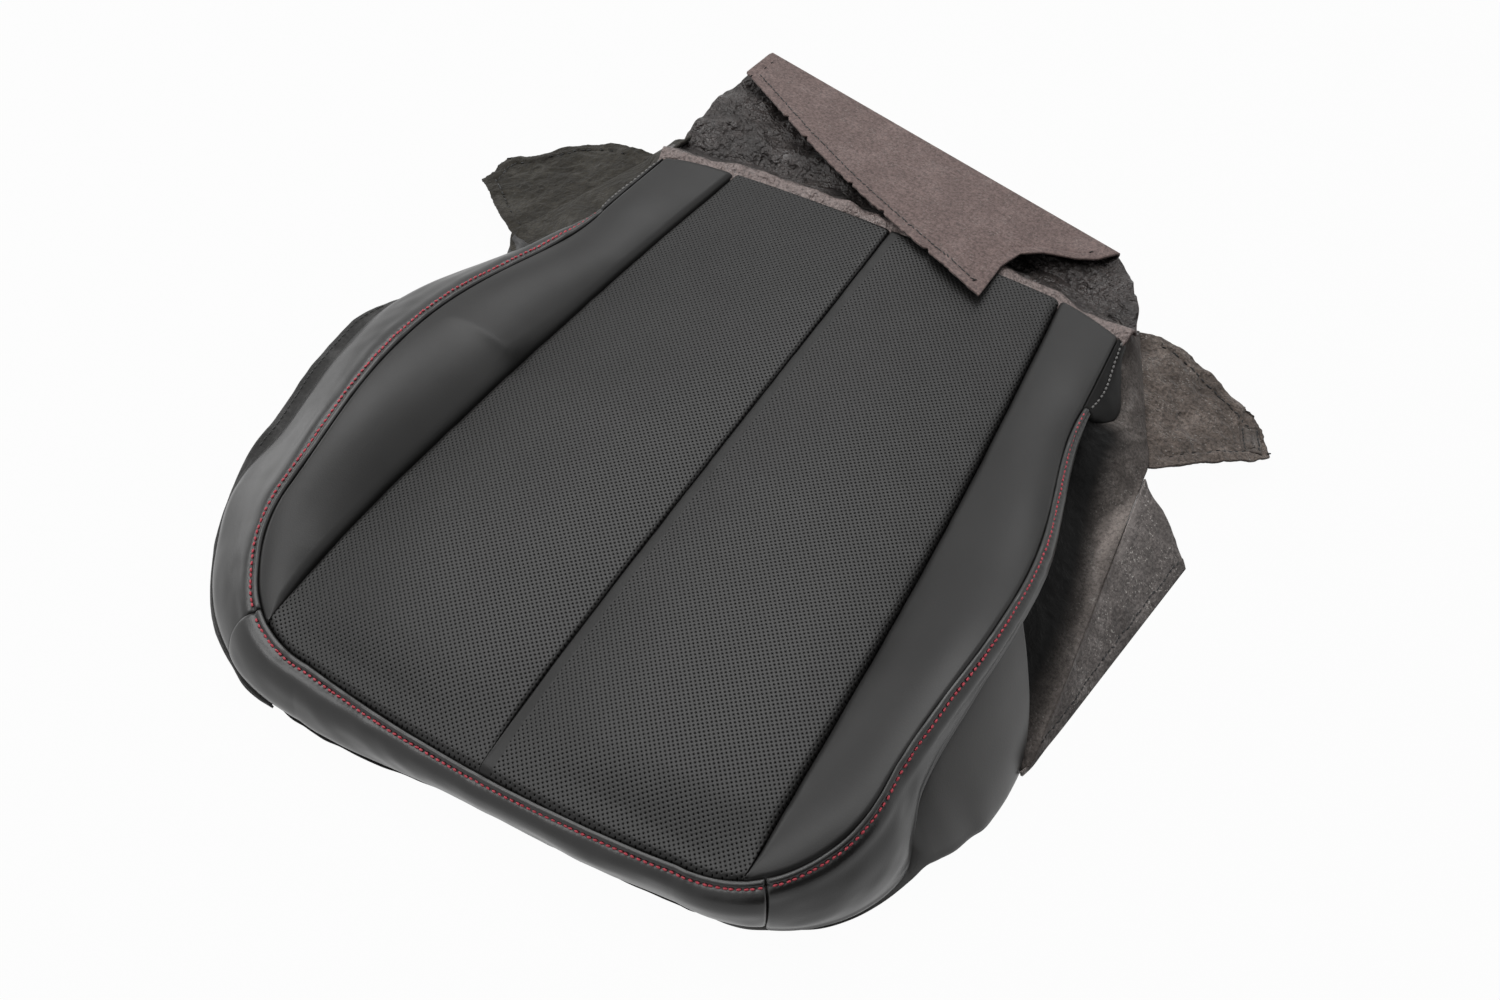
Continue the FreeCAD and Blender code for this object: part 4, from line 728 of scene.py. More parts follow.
# Flat flaps: outlines run from the fold's start, up one side, along the free edge and down the other side
FLAP_SIDES = {
    "rear_flap": (
        [(0, 0), (5, 18), (14, 30), (33, 44), (42, 58), (42, 80), (32, 116)],
        [(32, 116), (44, 115), (76, 110.5), (112, 103.5), (146, 96), (177, 88)]
        + [(206, 79), (234, 70), (262, 60), (294, 48), (318, 39)],
        [(328, 3), (323, 21), (318, 39)],
    ),
    "tab_left": (
        [(0, 0), (8, 28), (28, 78), (31, 89)],
        [(31, 89), (39, 88), (50, 95), (64, 98)],
        [(132, 3), (126, 23), (127, 40), (115, 57), (93, 74), (76, 82), (70, 94), (64, 98)],
    ),
    "tab_right": (
        [(0, 0), (1, 18), (5, 29), (16, 43), (26, 52), (41, 65), (55, 79)],
        [(55, 79), (64, 84), (75, 85), (87, 88)],
        [(123, 3), (117, 20), (108, 38), (96, 73), (87, 88)],
    ),
}


def even(points, count):
    """Places at equal steps along a run of straight lines."""
    points = np.asarray(points, float)
    places = lengths_along(points)
    at = np.linspace(0, places[-1], count)
    return np.stack([np.interp(at, places, points[:, axis]) for axis in range(2)], axis=1)


def edge_distance(name, grid):
    """Distance of flat places from a flap's two sides and free edge."""
    outline = [even(points, count) for points, count in zip(FLAP_SIDES[name], (60, 120, 60))]
    distance = np.full(grid.shape[:2], np.inf)
    for place in np.concatenate(outline):
        distance = np.minimum(distance, np.hypot(grid[..., 0] - place[0], grid[..., 1] - place[1]))
    return distance


def flap_grid(name, rows, columns):
    """Flat places of a flap: rows go out from the fold and columns along it."""
    start, free, end = FLAP_SIDES[name]
    near, far = even([(start[0][0], 0), (end[0][0], 0)], columns), even(free, columns)
    first, last = even(start, rows), even(end, rows)
    ragged = 0.5 * noise(far[:, 0] / 2.6, 0 * far[:, 0], 7)
    if name == "rear_flap":
        ragged = ragged - 2.6 * sum(bell(far[:, 0] - notch, 1.6) for notch in (85, 133, 169, 229, 256))
    ragged[[0, -1]] = 0
    far = far + np.stack([0 * ragged, ragged], axis=1)
    u, v = np.linspace(0, 1, columns)[None, :, None], np.linspace(0, 1, rows)[:, None, None]
    blend = near * (1 - v) + far * v + first[:, None] * (1 - u) + last[:, None] * u
    corners = near[0] * (1 - u) * (1 - v) + near[-1] * u * (1 - v) + far[0] * (1 - u) * v + far[-1] * u * v
    return blend - corners


def hem_row(grid_points, normal, distance, inset, pitch):
    """Places of the stitches along a hem, read from the rows and columns nearest to the inset."""
    rows, columns = distance.shape
    line_points, line_normals = [], []
    for column in range(columns):
        row = rows - 1 - int(np.argmax(distance[::-1, column] >= inset))
        line_points.append(grid_points[row, column])
        line_normals.append(normal[row, column])
    keep = slice(6, columns - 6)
    return spaced(np.array(line_points)[keep], np.array(line_normals)[keep], pitch)


# Materials
class Value:
    """Output of a node, with arithmetic that adds Math nodes."""

    def __init__(self, nodes, socket):
        self.nodes = nodes
        self.socket = socket

    def math(self, operation, *others):
        return self.nodes.add("Math", [self, *others], operation=operation)

    def __add__(self, other):
        return self.math("ADD", other)

    def __sub__(self, other):
        return self.math("SUBTRACT", other)

    def __rsub__(self, other):
        return self.nodes.add("Math", [other, self], operation="SUBTRACT")

    def __mul__(self, other):
        return self.math("MULTIPLY", other)

    def __truediv__(self, other):
        return self.math("DIVIDE", other)

    def __pow__(self, other):
        return self.math("POWER", other)

    __radd__ = __add__
    __rmul__ = __mul__

    def clamp(self):
        return self.nodes.add("Clamp", [self])

    def step(self, low, high):
        """Smooth step from 0 to 1 between two values."""
        share = ((self - low) / (high - low)).clamp()
        return share * share * (3 - 2 * share)


class Nodes:
    """Nodes of one material, or of the world."""

    def __init__(self, name, world=False):
        self.owner = (bpy.data.worlds if world else bpy.data.materials).new(name)
        self.owner.use_nodes = True
        self.tree = self.owner.node_tree
        self.tree.nodes.clear()

    def add(self, kind, values=(), output=0, **settings):
        node = self.tree.nodes.new("ShaderNode" + kind)
        for key, setting in settings.items():
            setattr(node, key, setting)
        pairs = values.items() if isinstance(values, dict) else enumerate(values)
        for key, value in pairs:
            if isinstance(value, Value):
                self.tree.links.new(value.socket, node.inputs[key])
            else:
                node.inputs[key].default_value = value
        return None if output is None else Value(self, node.outputs[output])

    def place(self):
        """Place on the surface in millimetres."""
        place = self.add("TexCoord", output="Object")
        return self.add("VectorMath", {0: place, 3: 1 / MM}, operation="SCALE")

    def axis(self, vector, name):
        return self.add("SeparateXYZ", [vector], output=name)

    def noise(self, place, size, detail=3.0, roughness=0.5):
        values = {"Vector": place, "Scale": 1 / size, "Detail": detail, "Roughness": roughness}
        return self.add("TexNoise", values)

    def cells(self, place, size):
        return self.add("TexVoronoi", {"Vector": place, "Scale": 1 / size}, output="Distance")

    def mix(self, low, high, share):
        values = {0: share, 6: low, 7: high}
        return self.add("Mix", values, output=2, data_type="RGBA")

    def bump(self, height, depth, strength=1.0, below=None):
        """Bump of a height from 0 to 1 that stands for a depth in millimetres."""
        values = {"Height": height, "Distance": depth * MM, "Strength": strength}
        if below is not None:
            values["Normal"] = below
        return self.add("Bump", values)

    def surface(self, **values):
        names = {"color": "Base Color", "roughness": "Roughness", "normal": "Normal", "sheen": "Sheen Weight"}
        names.update(metallic="Metallic", specular="Specular IOR Level")
        return self.add("BsdfPrincipled", {names[key]: value for key, value in values.items()})

    def finish(self, **values):
        return self.end(self.surface(**values))

    def end(self, surface, kind="OutputMaterial"):
        self.add(kind, {"Surface": surface}, output=None)
        return self.owner


def grey(value, warm=0.0):
    return (value * (1 + warm), value, value * (1 - warm), 1.0)


HOLE_PITCH = 3.6


def leather(name, holes=None, pale=1.0, rough=0.38, specular=0.32):
    """Dark leather with a fine pebble grain; holes holds a panel's turn and the x where its holes begin."""
    nodes = Nodes(name)
    place = nodes.place()
    warp = nodes.noise(place, 2.2, 2.0)
    grain = nodes.cells(place, 1.05) + 0.5 * nodes.cells(place, 0.55) + 0.35 * warp
    patches = nodes.noise(place, 70.0, 3.0)
    fine = nodes.noise(place, 6.0, 4.0, 0.6)
    color = nodes.mix(grey(0.012 * pale, 0.02), grey(0.016 * pale, 0.02), patches.step(0.35, 0.65))
    roughness = rough + 0.04 * patches + 0.05 * fine
    normal = nodes.bump(grain, 0.04, 0.8)
    if holes is not None:
        angle, start = holes
        turn = {"Vector": place, "Angle": math.radians(angle)}
        turned = nodes.add("VectorRotate", turn, rotation_type="Z_AXIS")
        x, y = nodes.axis(turned, "X"), nodes.axis(turned, "Y")
        first, second = (((value / HOLE_PITCH).math("FRACT") - 0.5) for value in (x + y, x - y))
        distance = HOLE_PITCH / math.sqrt(2) * (first * first + second * second) ** 0.5
        inside = 1 - distance.step(0.4, 0.58)
        wide = 1 - distance.step(0.4, 1.0)
        begins = nodes.axis(place, "X").step(start - 0.5, start + 0.5)
        inside, wide = inside * begins, wide * begins
        normal = nodes.bump(1 - wide, 0.25, 0.9, normal)
        surface = nodes.surface(color=color, roughness=roughness, normal=normal, specular=specular)
        # The holes are a near-black surface. The plain strip before the holes begin gets a fifth of that
        # black: painted shade.
        depth = nodes.surface(color=grey(0.0015), roughness=1.0, specular=0.05)
        return nodes.end(nodes.add("MixShader", [inside + 0.2 * (1 - begins), surface, depth]))
    return nodes.finish(color=color, roughness=roughness, normal=normal, specular=specular)


def tinted(tint, value):
    return tuple(value * part for part in tint) + (1.0,)


def felt(
    name, tint, dark, light, shine, dust,
    fibre=0.35, crinkle=0.0, patchy=0.7, rub_and_highlight=None, unshaded=None, sheen=0.15, rough=0.85
):
    """Nonwoven cloth: short fibres, flecks, and smooth patches where it has been pressed or crinkled."""
    nodes = Nodes(name)
    place = nodes.place()
    stretched = nodes.add("VectorMath", {0: place, 1: (0.25, 1.0, 1.0)}, operation="MULTIPLY")
    crossing = nodes.add("VectorMath", {0: place, 1: (1.0, 0.25, 1.0)}, operation="MULTIPLY")
    fibres = 0.5 * nodes.noise(stretched, 0.9, 3.0, 0.75) + 0.5 * nodes.noise(crossing, 0.9, 3.0, 0.75)
    flecks = nodes.noise(place, 2.2, 3.0, 0.7)
    patches = nodes.noise(place, 22.0, 4.0, 0.6)
    pressed = patches.step(0.5, 0.66)
    specks = nodes.noise(place, 1.4, 1.0).step(0.62, 0.7) * nodes.noise(place, 14.0, 2.0).step(0.45, 0.6)
    share = 0.5 * fibres.step(0.36, 0.64) + 0.5 * flecks.step(0.38, 0.62)
    share = share * (1 - 0.65 * patchy + patchy * patches.step(0.3, 0.7))
    color = nodes.mix(tinted(tint, dark), tinted(tint, light), share)
    color = nodes.mix(color, grey(light * 2.2, 0.06), specks * dust)
    roughness = rough - shine * pressed
    height = fibres + 0.8 * flecks
    normal = nodes.bump(height, fibre, 0.7)
    if crinkle:
        for size, depth in ((13.0, crinkle), (5.0, 0.4 * crinkle)):
            warped = nodes.noise(place, size, 3.0, 0.5)
            normal = nodes.bump((1 - 7 * (warped - 0.5).math("ABSOLUTE")).clamp(), depth, 1.0, normal)
    # Lighter strip: rubbed dust and a painted highlight along the side cloths' fold, and painted light beside
    # the rear leather's edge.
    if rub_and_highlight is not None:
        where, value = rub_and_highlight
        rub_and_highlight_share = where(nodes, place) * (0.35 + 0.65 * flecks.step(0.3, 0.6))
        color = nodes.mix(color, tinted(tint, value), rub_and_highlight_share)
    # Painted shade: where this mask is 0, the colour goes to near black and the roughness to 1.
    if unshaded is not None:
        unshaded_share = unshaded(nodes, place)
        color = nodes.mix(grey(0.002), color, unshaded_share)
        roughness = 1 - (1 - roughness) * unshaded_share
    return nodes.finish(color=color, roughness=roughness, normal=normal, sheen=sheen, specular=0.35)


def ridge_highlight_and_rub(nodes, place):
    """Lighter strip on both sides of the fold between the right cloth and the skirt: rubbed dust, and a
    painted highlight along the fold.
    """
    y, z = nodes.axis(place, "Y"), nodes.axis(place, "Z")
    ridges = []
    for (_, start_y, start_z), (_, end_y, end_z) in zip(SKIRT_PLACES.tolist(), SKIRT_PLACES[1:].tolist()):
        slope = (end_z - start_z) / (end_y - start_y)
        ridges.append(start_z - slope * start_y + slope * y)
    away = (z - ridges[0].math("MINIMUM", ridges[1])).math("ABSOLUTE")
    return (1 - away.step(0.3, 4.0)) * (1 - y.step(120, 155))


def outside_painted_shade(nodes, place):
    """Painted shade mask: from 0 in the deep recess below the right border, where the cloth is painted near
    black, to 1 on the cloth in the open.
    """
    turn = nodes.axis(place, "Y").step(WIDEST_Y, SEAM_END_Y) ** 1.5
    lip = WIDEST_X + 6.5 - (WIDEST_X - SEAM_END_X) * turn
    unshaded = (nodes.axis(place, "X") - lip).step(12, 33)
    return 1 - (1 - unshaded) * (1 - nodes.axis(place, "Y").step(152, 176))


def lit_strip_along_leather(nodes, place):
    """Painted light: lit strip of the rear cloth beside the leather's rear edge, lighter than the rest of the
    band.
    """
    across = nodes.axis(place, "X").math("ABSOLUTE")
    near = REAR_Y + (DEEP_REAR_Y - REAR_Y) / DEEP_REAR_X * across
    slope = (DEEP_REAR_Y - REAR_CORNER_Y) / (REAR_CORNER_X - DEEP_REAR_X)
    edge = near.math("MINIMUM", DEEP_REAR_Y + slope * DEEP_REAR_X - slope * across)
    ragged = 9 * (nodes.noise(place, 16.0, 3.0, 0.6) - 0.5)
    return 1 - (nodes.axis(place, "Y") - edge + ragged).step(9, 17)


def darker(color, share):
    return [value * share for value in color[:3]] + [1]


def thread(name, color):
    nodes = Nodes(name)
    twist = nodes.add("TexWave", {"Vector": nodes.place(), "Scale": 1.4, "Distortion": 2.0}, output="Fac")
    shade = nodes.mix(darker(color, 0.6), color, 0.4 + 0.6 * twist)
    normal = nodes.bump(twist, 0.12, 0.6)
    return nodes.finish(color=shade, roughness=0.6 + 0.2 * twist, normal=normal, sheen=0.2)


def moulded(name, color, metallic, rough):
    nodes = Nodes(name)
    marks = nodes.noise(nodes.place(), 3.0, 4.0, 0.6)
    shade = nodes.mix(darker(color, 0.8), color, marks)
    normal = nodes.bump(marks, 0.05, 0.5)
    return nodes.finish(color=shade, roughness=rough + 0.2 * marks, metallic=metallic, normal=normal)


SMOOTH = leather("smooth leather")
BORDER_LEATHER = leather("border leather", rough=0.28, specular=0.5)
# Painted shade: the gusset leather is 0.7 times as light as the others.
GUSSET_LEATHER = leather("gusset leather", pale=0.7, rough=0.5, specular=0.12)
# Painted light: the wall leather is 5.5 times as pale as the others, standing for the bright floor that it
# mirrors.
WALL_LEATHER = leather("wall leather", pale=5.5, rough=0.36, specular=0.5)
HOLED = {
    LEFT: leather("perforated leather left", holes=(-1.0, -400.0)),
    RIGHT: leather("perforated leather right", holes=(4.5, 7.5)),
}
REAR_FELT = felt("rear felt", (1.38, 1.0, 0.93), 0.055, 0.185, 0.2, 0.3, fibre=0.3, patchy=0.25)
# The band is dark, partly the cloth's darker inner side and partly painted shade below the flap, with a
# painted lit strip beside the leather.
BAND_FELT = felt(
    "rear felt inside", (1.25, 1.0, 0.94), 0.007, 0.045, 0.25, 0.9, fibre=0.05, crinkle=1.2, patchy=1.0,
    rub_and_highlight=(lit_strip_along_leather, 0.2), sheen=0.05, rough=0.45
)
SIDE_FELT = felt("side felt", (1.24, 1.0, 0.86), 0.035, 0.17, 0.4, 0.7, crinkle=0.9, patchy=0.85)
# The right cloth is painted near black in the recess below the border (painted shade), and lighter along its
# fold (rubbed dust and a painted highlight).
CLOTH_FELT = felt(
    "right cloth felt", (1.15, 1.0, 0.92), 0.045, 0.16, 0.35, 0.6, crinkle=0.4, rub_and_highlight=(ridge_highlight_and_rub, 0.3),
    unshaded=outside_painted_shade, sheen=0.03
)
PATCH_FELT = felt("patch felt", (1.2, 1.0, 0.88), 0.03, 0.12, 0.5, 0.9)
SKIRT_FELT = felt(
    "skirt felt", (1.12, 1.0, 0.95), 0.07, 0.27, 0.35, 0.9, fibre=0.4, crinkle=0.4, rub_and_highlight=(ridge_highlight_and_rub, 0.3)
)
TAB_FELT = felt("left tab felt", (1.2, 1.0, 0.62), 0.004, 0.02, 0.2, 0.8, crinkle=0.8, sheen=0.04)
WALL_FELT = felt("wall felt", (1.03, 1.0, 0.97), 0.010, 0.03, 0.2, 0.2)
HEM_FELT = felt("hem felt", (1.03, 1.0, 0.97), 0.008, 0.02, 0.1, 0.1)
SLEEVE_FELT = felt("sleeve cloth", (1.02, 1.0, 0.98), 0.55, 0.75, 0.1, 0.0, fibre=0.2)
SCRIM = felt("foam scrim", (1.01, 1.0, 0.99), 0.20, 0.32, 0.1, 0.2, fibre=0.25)
RED = thread("red thread", (0.66, 0.07, 0.1, 1))
PALE = thread("pale thread", (0.22, 0.215, 0.21, 1))
BLACK = thread("black thread", (0.012, 0.012, 0.012, 1))
STEEL = moulded("steel wire", (0.45, 0.45, 0.46, 1), 1.0, 0.3)
PLASTIC = moulded("hook plastic", (0.02, 0.02, 0.02, 1), 0.0, 0.45)


# Thicknesses, and how far below the leather's face the foam starts
LEATHER, CLOTH, TAB_CLOTH, PATCH_CLOTH = 1.2, 1.5, 1.6, 1.0
FOAM, BORDER_FOAM, FOAM_DEPTH = 5, 3.6, 1.6
HEM_WIDTH, HEM_PITCH = 9.5, 4.2


# Leather panels and the foam behind them
def leather_piece(name, points, facing, node, material):
    return own(lay(name, points, LEATHER, facing), "cover", material, [node])


def cloth_piece(name, points, facing, node, material, thickness=CLOTH):
    return own(lay(name, points, thickness, facing), "cover", material, [node])


def foam_sheet(name, points, thickness, facing, trim, node):
    """Foam behind a panel: the panel's surface, moved back, less rows and columns at its four edges."""
    kept = points[trim[0] : len(points) - trim[1] : 3, trim[2] : points.shape[1] - trim[3] : 2]
    back = kept - normals(kept, facing) * FOAM_DEPTH
    own(lay(name, back, thickness, facing), "cover", SCRIM, [node])


for side in (LEFT, RIGHT):
    name = SIDE_NAMES[side]
    points = insert_points(side)
    node = f"insert_panel_{name}"
    panel = leather_piece(f"insert_{name}", points, UP, node, HOLED[side])
    foam_sheet(f"insert_backing_{name}", points, FOAM, UP, (9, 1, 12, 12), f"insert_foam_{name}")
    points = bolster_points(side)
    panel = leather_piece(f"bolster_{name}", points, UP, f"bolster_panel_{name}", SMOOTH)
    foam_sheet(f"bolster_backing_{name}", points, FOAM, UP, (60, 2, 12, 12), f"bolster_foam_{name}")

SIDE_START, SIDE_END = -SEAM_END_Y, corner_run(JOIN_ANGLE)
for side, start, end, rows in (
    (LEFT, SIDE_START, SIDE_END, 400),
    (FRONT, -FRONT_JOIN, FRONT_JOIN, 380),
    (RIGHT, SIDE_START, SIDE_END, 400),
):
    name = SIDE_NAMES[side]
    facing = (side, -0.3 if side else -1, 0.4)
    points = border_points(side, start, end, rows)
    panel = leather_piece(f"border_{name}_leather", points, facing, f"border_{name}", BORDER_LEATHER)
    trim = (60 if side else 3, 3, 12, 16 if side == RIGHT else 5)
    foam_sheet(f"border_backing_{name}", points, BORDER_FOAM, facing, trim, f"border_foam_{name}")
    row = border_stitches(side, start + 2, end)
    stitch_row(f"red_stitches_{name}", row, "cover", RED, [f"red_topstitch_{name}"])

# Rear gussets
for side in (LEFT, RIGHT):
    name = SIDE_NAMES[side]
    hidden = SEAM_END_Y + np.array([-7, -5, -3, -1.0])
    y = np.concatenate([hidden, np.linspace(SEAM_END_Y + 0.5, REAR_CORNER_Y - PANEL_INSET, 70)])
    shares = np.broadcast_to(np.linspace(0, 1, 20), (len(y), 20))
    points, normal, length = wall_surface(*gusset(side, y), shares)
    lift = 0.3 * noise(y[:, None] / 9, shares * 4, 51) - 0.5 * bell((shares - 0.25) * 12, 1.2)
    lift = lift - 2.4 * ease((SEAM_END_Y + 1.5 - y[:, None]) / 2)
    points = points + normal * lift[..., None]
    leather_piece(f"gusset_{name}", points, (side, 0, 0.4), f"rear_corner_{name}", GUSSET_LEATHER)
    row = spaced(points[5:, 5] + normal[5:, 5] * 0.3, normal[5:, 5], STITCH_PITCH)
    stitch_row(f"gusset_stitches_{name}", row, "cover", PALE, [f"corner_stitch_{name}"])

# Left and right walls
shares = np.concatenate([[0, 0.015, 0.03, 0.045, 0.06, 0.08], np.linspace(0.1, 1, 30)])
points, normal, length, distance, run = wall_from_lines(left_wall_lines(), 420, shares, 1.3)
lift = 0.6 * bell(distance - 1.5, 1.5) - 0.5 * bell(distance - 4, 1.2)
lift = lift + 1.2 * ease(distance / 15) * noise(run / 45, distance / 30, 61)
lift = (lift + 0.5 * crumple(run / 30, distance / 30, 63)) * ease((length - distance) / 6)
beside_lip = ease((points[:, :1, 1] + 170) / 45) * ease((25 - points[:, :1, 1]) / 50)
lift = lift + 9 * beside_lip * ease(distance / 7) * (1 - ease((distance - 16) / 40))
points = points + normal * lift[..., None]
wall = cloth_piece("wall_left", tucked(points, normal), (-1, 0, 0), "outer_panel_left", WALL_FELT)
index = int(np.argmin(np.abs(shares - 0.06)))
rows = np.flatnonzero((points[:, index, 1] > -140) & (points[:, index, 1] < 5))
row = spaced(points[rows, index] + normal[rows, index] * 0.2, normal[rows, index], 4.5)
stitch_row("wall_left_stitches", row, "cover", BLACK, length=3.4, radius=0.55)

points, normal, length, distance, run = wall_from_lines(right_wall_lines(), 260, shares, 1.0)
lift = 0.8 * ease(distance / 12) * noise(run / 50, distance / 30, 71) - 0.4 * bell(distance - 3, 1.5)
points = points + normal * (lift * ease((length - distance) / 6))[..., None]
leather_piece("wall_right", tucked(points, normal, 10), (1, 0, 0), "outer_panel_right", WALL_LEATHER)

# Side cloths and skirt
shares = np.linspace(0, 1, 50)
left_folds = [left_fold(share) for share in (0.0, 0.12, 0.27, 0.45, 0.65, 0.85, 0.9, 1.0)]
lines = side_cloth_lines(LEFT, [98, 118, 140, 165, 190, 214], left_folds)
points, normal, length, distance, run = wall_from_lines(lines, 120, shares, 1.3)
room = ease(shares / 0.12) * ease((1 - shares) / 0.12)
points = points + normal * (room * 1.4 * crumple(run / 26, distance / 26, 81))[..., None]
points = tucked(points, normal, 5.5)
cloth = cloth_piece("cloth_left", points, (-1, 0, 0.3), "side_cloth_left", TAB_FELT)

SKIRT_SHARES = (0.0, 0.12, 0.25, 0.4, 0.6, 0.8, 1.0)
right_folds = [skirt_fold(share) for share in SKIRT_SHARES]
right_folds += [right_fold(share) for share in (0.0, 0.25, 0.5, 0.75, 0.82, 1.0)]
lines = side_cloth_lines(RIGHT, [-12, 4, 20, 45, 75, 105, 135, 150.5, 175, 198, 215], right_folds)
points, normal, length, distance, run = wall_from_lines(lines, 240, shares, 1.2)
ridge = 2.4 * bell(length - distance, 5) * ease((150 - run) / 40)
points = points + normal * (room * 1.6 * crumple(run / 30, distance / 30, 91) + ridge)[..., None]
points = turned_in(tucked(points, normal), normal)
cloth = cloth_piece("cloth_right", points, (1, 0, 0.3), "side_cloth_right", CLOTH_FELT)

lines = []
for share in SKIRT_SHARES:
    fold = skirt_fold(share) - UP * 0.3
    foot = np.array([255, -62, FOOT_HEIGHT]) + np.array([20, 186, 0]) * share
    lines.append(line(fold, foot, [1, 0, 0], 3 * fold[2] / 35))
lines = [line(lines[0][:3] + [-1.6, -6, 0], lines[0][3:6] + [-1.6, -6, 0], [1, 0, 0], 0.3)] + lines
points, normal, length, distance, run = wall_from_lines(lines, 200, shares, 1.05)
low = length - distance
hem = 1.0 * ease((HEM_WIDTH - low) / 1.2) - 0.9 * bell(low - 8, 1.0)
lift = room * 1.0 * crumple(run / 26, distance / 26, 101) + hem * ease(length / 20) + 1.3 * bell(distance, 4)
points = points + normal * lift[..., None]
rows = np.arange(len(points))[14:-3]
columns = np.argmin(np.abs(low - 8), axis=1)[rows]
skirt_row = spaced(points[rows, columns], normal[rows, columns], 4.4)
skirt = cloth_piece("skirt", points, (1, 0, 0.3), "skirt_right", SKIRT_FELT)
stitch_row("skirt_stitches", skirt_row, "cover", BLACK, length=3.8, radius=0.6)

# Front hem
HEM_HALF_LENGTH = 152
place = np.linspace(-HEM_HALF_LENGTH, HEM_HALF_LENGTH, 260)
_, bottom, outward, _ = border_profile(FRONT, place)
show = (1.2 + 0.5 * noise(place / 14, 0 * place, 111)) * ease((HEM_HALF_LENGTH - 2 - np.abs(place)) / 14)
outer = bottom + outward * (show - 3 * ease((np.abs(place) - 132) / 18))[:, None]
shares = np.linspace(0, 1, 12)[None, :, None]
points = outer[:, None] - outward[:, None] * 16 * shares
points[..., 2] = 1.5 + 0.25 * noise(place[:, None] / 9, shares[..., 0] * 3, 113)
points[:, 0, 2] = 1.3
cloth_piece("front_hem_cloth", points, UP, "front_hem", HEM_FELT, thickness=1.2)

# Rear cloth: from the leather's edge to the fold, and from there round it and over the seat to the free edge
COLUMNS = 260
FOLD_RADIUS = 2.6
FOLD_MIDDLE = (FOLD_LEFT + FOLD_RIGHT) / 2
BLEND_SLOPE = math.radians(9)


def band_rows(place, fold):
    """Rows of the band from the leather's edge to the fold: hanging, crumpled, and rolled at both ends."""
    start, end = band_start(place), fold - UP * FOLD_RADIUS
    shares = np.linspace(0, 1, 110)[:-1, None]
    points = start + (end - start) * shares[..., None]
    distance = shares * np.linalg.norm(end - start, axis=1)
    across = place * BAND_HALF_WIDTH
    room = ease(shares / 0.08) * ease((1 - shares) / 0.15)
    lift = 3.4 * crumple(across / 42, distance / 30, 121) + 2.2 * noise(across / 20, distance / 9, 125)
    lift = room * (lift + 0.6 * noise(across / 7, distance / 5, 127))
    lift = lift + 5.0 * bell(distance - 9, 6) - 8.0 * bell(distance - 34, 14) * room
    sag = 20 * shares * (1 - shares) + 1.5 * (1 - shares)
    roll = np.clip((np.abs(place) - 0.8) / 0.2, 0, 1) ** 2 * np.sin(np.pi * shares) ** 0.7
    reach = np.where(place > 0, 15.0, 7.0) + 2.2 * noise(distance / 13, 0 * distance, 129)
    points[..., 0] += roll * reach * np.sign(place)
    points[..., 2] += lift - sag + roll * (3.0 + 1.6 * noise(distance / 12, across / 12, 135))
    points[0] += np.array([0, -5.0, -1.5])
    return points


def fold_rows(fold):
    """Rows of the cloth round its fold, from below to above."""
    turn = np.linspace(-np.pi / 2, np.pi / 2 + 0.1, 13)[:, None, None]
    return fold + FOLD_RADIUS * (np.sin(turn) * UP - np.cos(turn) * FOLD_INWARD)


def flap_points(grid, edge):
    """The flap at flat places: slightly wavy, with a turned hem and one corner that hangs down."""
    u, v = grid[..., 0], grid[..., 1]
    height = 0.5 * noise(u / 90, v / 60, 131) + 0.12 * noise(u / 22, v / 22, 133)
    height = height * ease(v / 30) + 0.2 * ease((HEM_WIDTH - edge) / 1.0) * ease(v / 14)
    height = height - 0.6 * bell(edge - 7, 0.9) * ease(v / 14) + 1.0 * ease(v / 60)
    curl = -4.5 * ease((75 - u) / 55) * ease((v - 30) / 80)
    level = FOLD_RIGHT + FOLD_ALONG * u[..., None] + FLAP_OUT * v[..., None]
    return level + FLAP_UP * (FOLD_RADIUS + height + curl)[..., None]


def rear_piece(name, points, facing, nodes):
    """Part of the rear cloth, with the cloth's inner side in another material."""
    piece = own(lay(name, points, CLOTH, facing), None, REAR_FELT, nodes)
    piece.data.materials.append(BAND_FELT)
    faces_on_one_side = (len(points) - 1) * (COLUMNS - 1)
    sides = np.zeros(len(piece.data.polygons), dtype=np.int32)
    sides[faces_on_one_side : 2 * faces_on_one_side] = 1
    piece.data.polygons.foreach_set("material_index", sides)
    return piece


place = np.linspace(1, -1, COLUMNS)
fold = FOLD_RIGHT + (FOLD_LEFT - FOLD_RIGHT) * ((1 - place) / 2)[:, None]
bend = fold_rows(fold)
points = np.concatenate([band_rows(place, fold), bend[:1]])
rear_band = rear_piece("rear_band_cloth", points, -UP, ["rear_band"])
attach(rear_band, "cover")
grid = flap_grid("rear_flap", 170, COLUMNS)
edge = edge_distance("rear_flap", grid)
flap = flap_points(grid, edge)
points = np.concatenate([bend, flap[1:]])
rear_flap = rear_piece("rear_flap_cloth", points, UP, ["rear_flap", "rear_flap_hem"])
blend_up = (UP * math.cos(BLEND_SLOPE) - FOLD_INWARD * math.sin(BLEND_SLOPE)) * 0.8
start, end = (FOLD_MIDDLE - blend_up) * MM, (FOLD_MIDDLE + blend_up) * MM
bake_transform(rear_flap)
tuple(start)
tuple(end)
flap_normals = normals(flap, UP)
row = hem_row(flap + flap_normals * 0.1, flap_normals, edge, 8, HEM_PITCH)
stitch_row("rear_hem_stitches", row, "rear_flap_body", BLACK, length=3.9, radius=0.5)


